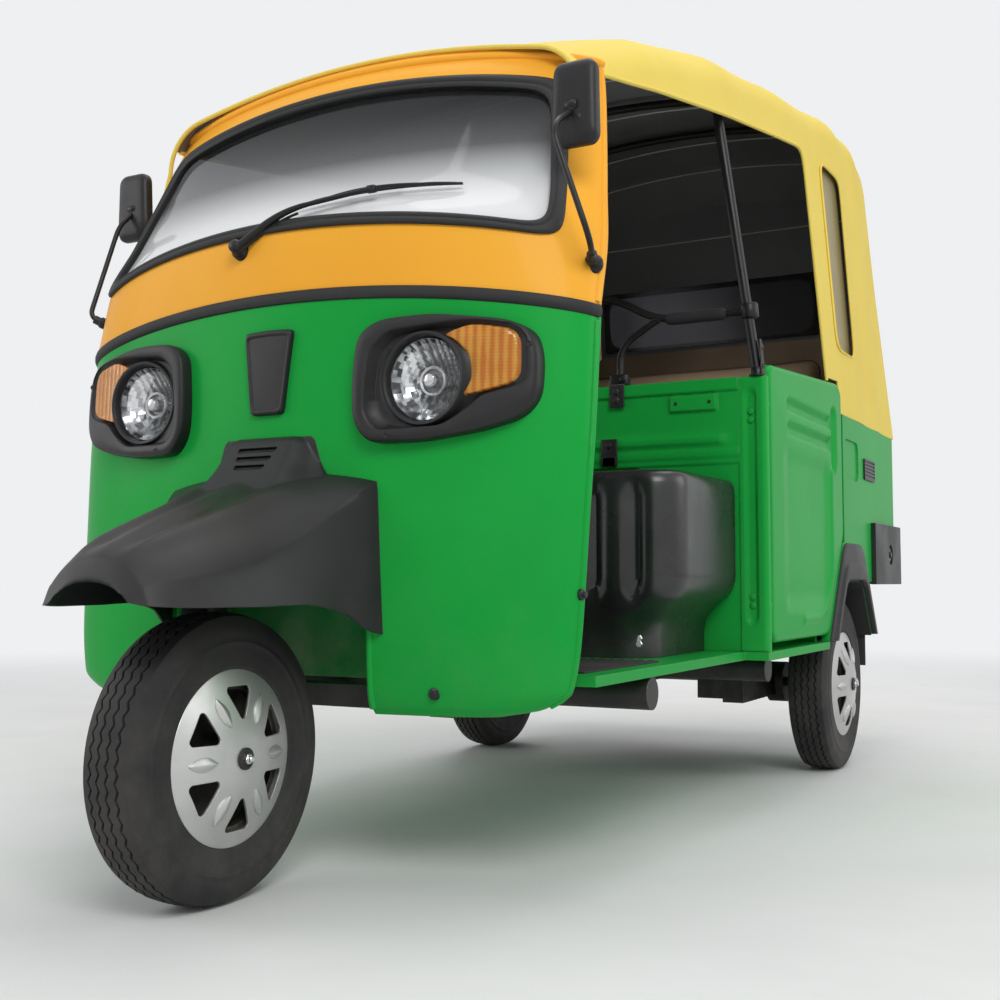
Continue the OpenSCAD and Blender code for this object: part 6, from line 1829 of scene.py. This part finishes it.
def makeWiper():
    ends = [Vector(p) for p in wiperArm["ends"]]

    def alongBlade(t, lift):
        p = ends[0].lerp(ends[1], t)
        return overGlass(p.x, p.y + 0.010 * math.sin(math.pi * t), lift)
    parts = [turnedPart("wiperBoss", overGlass(*wiperArm["pivot"], 0.0), (0, -1, 0.3), 28)]
    arm = [overGlass(*wiperArm["pivot"], 0.018), overGlass(*wiperArm["elbow"], 0.024),
           overGlass(*wiperArm["middle"], wiperArm["lift"])]
    arm = bentPath(arm, 0.05, 8)
    parts.append(tubeOf("wiperArm", arm, 0, 12, spread(0.0085, 0.0042, len(arm) - 1)))
    parts.append(tubeOf("armSpring", [p + Vector((0, 0.004, -0.010)) for p in arm[:len(arm) // 2 + 3]], 0.0028, 8))
    bridge = [alongBlade(t, 0.008 + 0.013 * max(0, math.sin(math.pi * (t - 0.2) / 0.6)) ** 0.7)
              for t in [0.2 + 0.6 * k / 24 for k in range(25)]]
    parts.append(tubeOf("bladeBridge", bridge, 0.0034, 10))
    for middle in (0.2, 0.8):
        yoke = [alongBlade(middle + 0.17 * s, 0.0065 + 0.007 * (1 - s * s)) for s in [k / 8 - 1 for k in range(17)]]
        parts.append(tubeOf("bladeYoke", yoke, 0.0028, 8))
    parts.append(tubeOf("bladeSpine", [alongBlade(k / 40, 0.006) for k in range(41)], 0.0026, 8))
    parts.append(tubeOf("bladeRubber", [alongBlade(k / 40, 0.0032) for k in range(41)], 0.0022, 8))
    place = overGlass(*wiperArm["middle"], wiperArm["lift"] - 0.002)
    parts.append(softBlock("bladeClip", (0.020, 0.012, 0.014), place, 0.003))
    joined("wiperSet", parts, "satin", "black_plastic", "wiper", angle=50)
    print("wiper built")


makeWiper()

# handlebar

bar = {"axis": (0.0, 0.342020, 0.939693), "foot": (0.0, 0.3420, 0.9855), "turn": (0.110, 0.3542, 1.019),
       "end": (0.275, 0.4742, 1.039), "radius": 0.0115, "grip": 0.0168, "gripLength": 0.118,
       "lever": (  # out and along, close enough to pass the panel at full lock
           (0.0140, 0), (0.0255, 0.012), (0.0300, 0.050), (0.0270, 0.100), (0.0255, 0.118))}


def makeHandlebar():
    metal, rubber = [], []
    turn, end = at(*bar["turn"]), at(*bar["end"])
    flip = Vector((-1, 1, 1))
    path = [end * flip, turn * flip, turn, end]
    metal.append(tubeOf("barTube", bentPath(path, 0.05, 8), bar["radius"], 18))
    metal.append(turnedPart("barHead", at(*bar["foot"]), bar["axis"], 40))
    along = (end - turn).normalized()
    for side in (1, -1):
        sign = Vector((side, 1, 1))
        grip = [(end - along * (bar["gripLength"] * (1 - k / 60))) for k in range(61)]
        radii = [bar["grip"] - 0.0016 * (k % 3 == 0) + (0.0030 if k < 3 else 0) - (0.004 if k == 60 else 0)
                 for k in range(61)]
        rubber.append(tubeOf("grip", [p * sign for p in grip], 0, 20, radii))
        hub = end - along * (bar["gripLength"] + 0.020)
        run = along * sign
        across = Vector(upward).cross(run).normalized()
        spin = Matrix((run, across, run.cross(across))).transposed()
        metal.append(softBlock("switchBox", (0.030, 0.036, 0.034), hub * sign, 0.006, spin))
        ahead = Vector((along.y, -along.x, 0)).normalized()
        lever = smoothPath([(hub + ahead * out + along * far) * sign for out, far in bar["lever"]], 6)
        radii = [0.0062 - 0.0018 * math.sin(math.pi * t) for t in spread(0, 1, len(lever) - 1)]
        metal.append(tubeOf("lever", lever, 0, 12, radii))
    joined("handlebarSet", metal, "satin", "black_paint", "handlebar", angle=50, body="steering")
    joined("handleGrips", rubber, "rubber", "black_rubber", angle=30, body="steering")
    print("handlebar built")


makeHandlebar()

# ribbed floor mat, arch flares, mud flaps

matRibs = {"pitch": 0.022, "height": 0.0018}
flare = {"face": 0.6553, "axle": 2.100, "inner": ((0.252, 0.3915), (0.128, 0.560)),
         "outer": ((0.3026, 0.3915), (0.1203, 0.670)),
         "profile": ((0.0, 0.003), (0.02, 0.0125), (0.05, 0.0155), (0.40, 0.0155), (0.44, 0.0135), (0.47, 0.0095),
                     (0.52, 0.0085), (0.93, 0.0075), (0.98, 0.0055), (1.0, 0.002)),
         "linerDepth": (0.654, 0.600, 0.530, 0.470), "linerWall": 0.004}
flap = {"size": (0.149, 0.007, 0.199), "place": (0.5557, 2.3716, 0.3903), "rib": (0.006, 0.005, 0.170),
        "ribAt": (0.5057, 2.3670, 0.3853), "ribs": 5, "ribPitch": 0.025}


def makeMat():
    low, high = (Vector(c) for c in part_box("floor_mat"))
    count = int((high.x - low.x) / matRibs["pitch"])
    top, base = [], []
    for k in range(count):
        start = mixed(low.x, high.x, k / count)
        wide = (high.x - low.x) / count
        for share, rise in ((0.05, 0), (0.15, 1), (0.45, 1), (0.55, 0), (0.98, 0)):
            top.append((start + wide * share, high.z - matRibs["height"] * (1 - rise)))
            base.append((start + wide * share, low.z))
    ys = [low.y, low.y + 0.004, high.y - 0.004, high.y]
    ends = high.z - matRibs["height"]
    rows = [[Vector((x, y, z if 0 < i < 3 else min(z, ends))) for x, z in top] for i, y in enumerate(ys)]
    under = [[Vector((x, y, z)) for x, z in base] for y in ys]
    finished(shellOf("ribbedMat", rows, under), "rubber", "black_rubber", "floor_mat", angle=25)


def makeFlares():
    parts, flaps, liners = [], [], []
    lines = []
    for pair in (flare["inner"], flare["outer"]):
        (low, foot), (high, top) = pair
        lines.append(bentPath([(-low, foot, 0), (-high, top, 0), (high, top, 0), (low, foot, 0)], 0.045, 10))
    for side in (1, -1):
        parts.append(shellOf("flare", *(
            [[at(side * (flare["face"] + proud * raised), flare["axle"] + mixed(a.x, b.x, t), mixed(a.y, b.y, t))
              for t, proud in flare["profile"]] for a, b in zip(*lines)] for raised in (1, 0))))
        wall, depth = flare["linerWall"], flare["linerDepth"]
        outer = [[at(side * x, flare["axle"] + p.x, p.y) for x in depth] for p in lines[0]]
        inner = [[at(side * x, flare["axle"] + p.x * 0.985, p.y - wall) for x in depth] for p in lines[0]]
        liners.append(shellOf("liner", outer, inner))
        back = [(flare["axle"] + p.x, p.y) for p in lines[0]]
        liners.append(prismOf("linerBack", back, side * depth[-1], side * (depth[-1] - wall), "X"))
        x, y, z = flap["place"]
        flaps.append(softBlock("flap", flap["size"], at(side * x, y, z), 0.003))
        x, y, z = flap["ribAt"]
        for k in range(flap["ribs"]):
            flaps.append(softBlock("flapRib", flap["rib"], at(side * (x + flap["ribPitch"] * k), y, z), 0.002))
    joined("archFlares", parts, "plastic", "black_plastic", "arch_flares")
    joined("mudFlaps", flaps, "rubber", "black_rubber")
    joined("archLiners", liners, "rubber", "black_plastic")
    print("mat, flares and flaps built")


makeMat()
makeFlares()

# tail lamps, bumper bolts, pole brackets, gauge

tailLamp = {"x": 0.5525, "near": 2.7905, "low": 0.800, "wide": 0.095,
            "lenses": (("amber", 0.006, 0.064), ("red", 0.068, 0.136), ("lens", 0.140, 0.184))}


def makeTailLamps():
    cases = []
    lenses = {}
    for side in (1, -1):
        place = at(side * tailLamp["x"], tailLamp["near"] + 0.0064, tailLamp["low"] + 0.095)
        cases.append(softBlock("lampCase", (tailLamp["wide"] - 0.001, 0.012, 0.189), place, 0.004))
        for name, low, high in tailLamp["lenses"]:
            half = tailLamp["wide"] / 2 - 0.005
            rows, back = [], []
            for j in range(33):
                z = mixed(low, high, j / 32)
                row, behind = [], []
                for k in range(21):
                    x = mixed(-half, half, k / 20)
                    rim = min(half - abs(x), z - low, high - z)
                    dome = 0.0125 - 0.006 * (1 - eased(0.0, 0.007, rim))
                    dome -= 0.0011 * abs(math.sin(math.pi * (z - low) / 0.009))
                    row.append(at(side * tailLamp["x"] + x, tailLamp["near"] + 0.0124 + dome, tailLamp["low"] + z))
                    behind.append(at(side * tailLamp["x"] + x, tailLamp["near"] + 0.0126, tailLamp["low"] + z))
                rows.append(row)
                back.append(behind)
            lenses.setdefault(name, []).append(shellOf("tailLens", rows, back))
    joined("tailCases", cases, "plastic", "black_plastic", "tail_lamps")
    for name, slot in (("amber", "amber_plastic"), ("red", "red_plastic"), ("lens", "lamp_glass")):
        joined("tail_" + name, lenses[name], name, slot, angle=35)


knob = {"place": (0.6627, 2.610, 0.646)}
bracket = {"outline": [(1.198, 1.0506), (1.226, 1.0506), (1.220, 1.138), (1.205, 1.142)], "low": 1.0506, "lean": 0.0714,
           "inner": 0.6455, "outer": 0.6485, "bolts": (1.075, 1.120), "strapBolts": (1.012, 1.034)}


def makeSmallParts():
    bolts, plates, gauge = [], [], []
    for side in (1, -1):
        x, y, z = knob["place"]
        bolts.append(turnedPart("bumperKnob", at(side * x, y, z), (side, 0, 0), 36))
        outline = roundedOutline(bracket["outline"], 0.006, 4)
        plate = prismOf("poleBracket", outline, side * bracket["inner"], side * bracket["outer"], "X")
        for v in plate.data.vertices:
            v.co.x -= side * (v.co.z - bracket["low"]) * bracket["lean"]
        plates.append(plate)
        foot = at(side * poles["foot"], poles["setback"], bracket["low"] + 0.0021)
        plates.append(softBlock("bracketFoot", (0.036, 0.024, 0.004), foot, 0.001))
        for z in bracket["bolts"]:
            place = at(side * (bracket["outer"] - (z - bracket["low"]) * bracket["lean"]), 1.2125, z)
            plates.append(turnedPart("bracketBolt", place, (side, 0, 0), 6))
        x = side * rail["lower"][0]
        plates.append(softBlock("strapFront", (0.040, 0.005, 0.058), at(x, 1.1898, 1.0235), 0.0015))
        plates.append(softBlock("strapTop", (0.040, 0.032, 0.004), at(x, 1.2040, 1.0524), 0.0012))
        for z in bracket["strapBolts"]:
            plates.append(turnedPart("strapBolt", at(x, 1.1874, z), forward, 6))
    joined("bumperKnobs", bolts, "satin", "black_plastic")
    joined("railBrackets", plates, "steel", "black_paint")
    high = Vector(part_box("instrument_panel")[1])
    spot = Vector((0, high.y - 0.042, high.z))
    gauge.append(turnedPart("gaugeRing", spot, upward, 48))
    for k in range(11):
        turn = math.radians(-120 + 24 * k)
        spin = Matrix.Rotation(-turn, 3, "Z")
        place = spot + spin @ Vector((0, 0.026, 0.0026))
        gauge.append(softBlock("gaugeTick", (0.0012, 0.005, 0.0006), place, 0.0002, spin, 1))
    gauge[0].data.materials.append(finish["satin"])
    for tick in gauge[1:]:
        tick.data.materials.append(finish["bright"])
    finished(mergedOf("speedGauge", gauge), None, "black_plastic")
    print("lamps, brackets and gauge built")


makeTailLamps()
makeSmallParts()
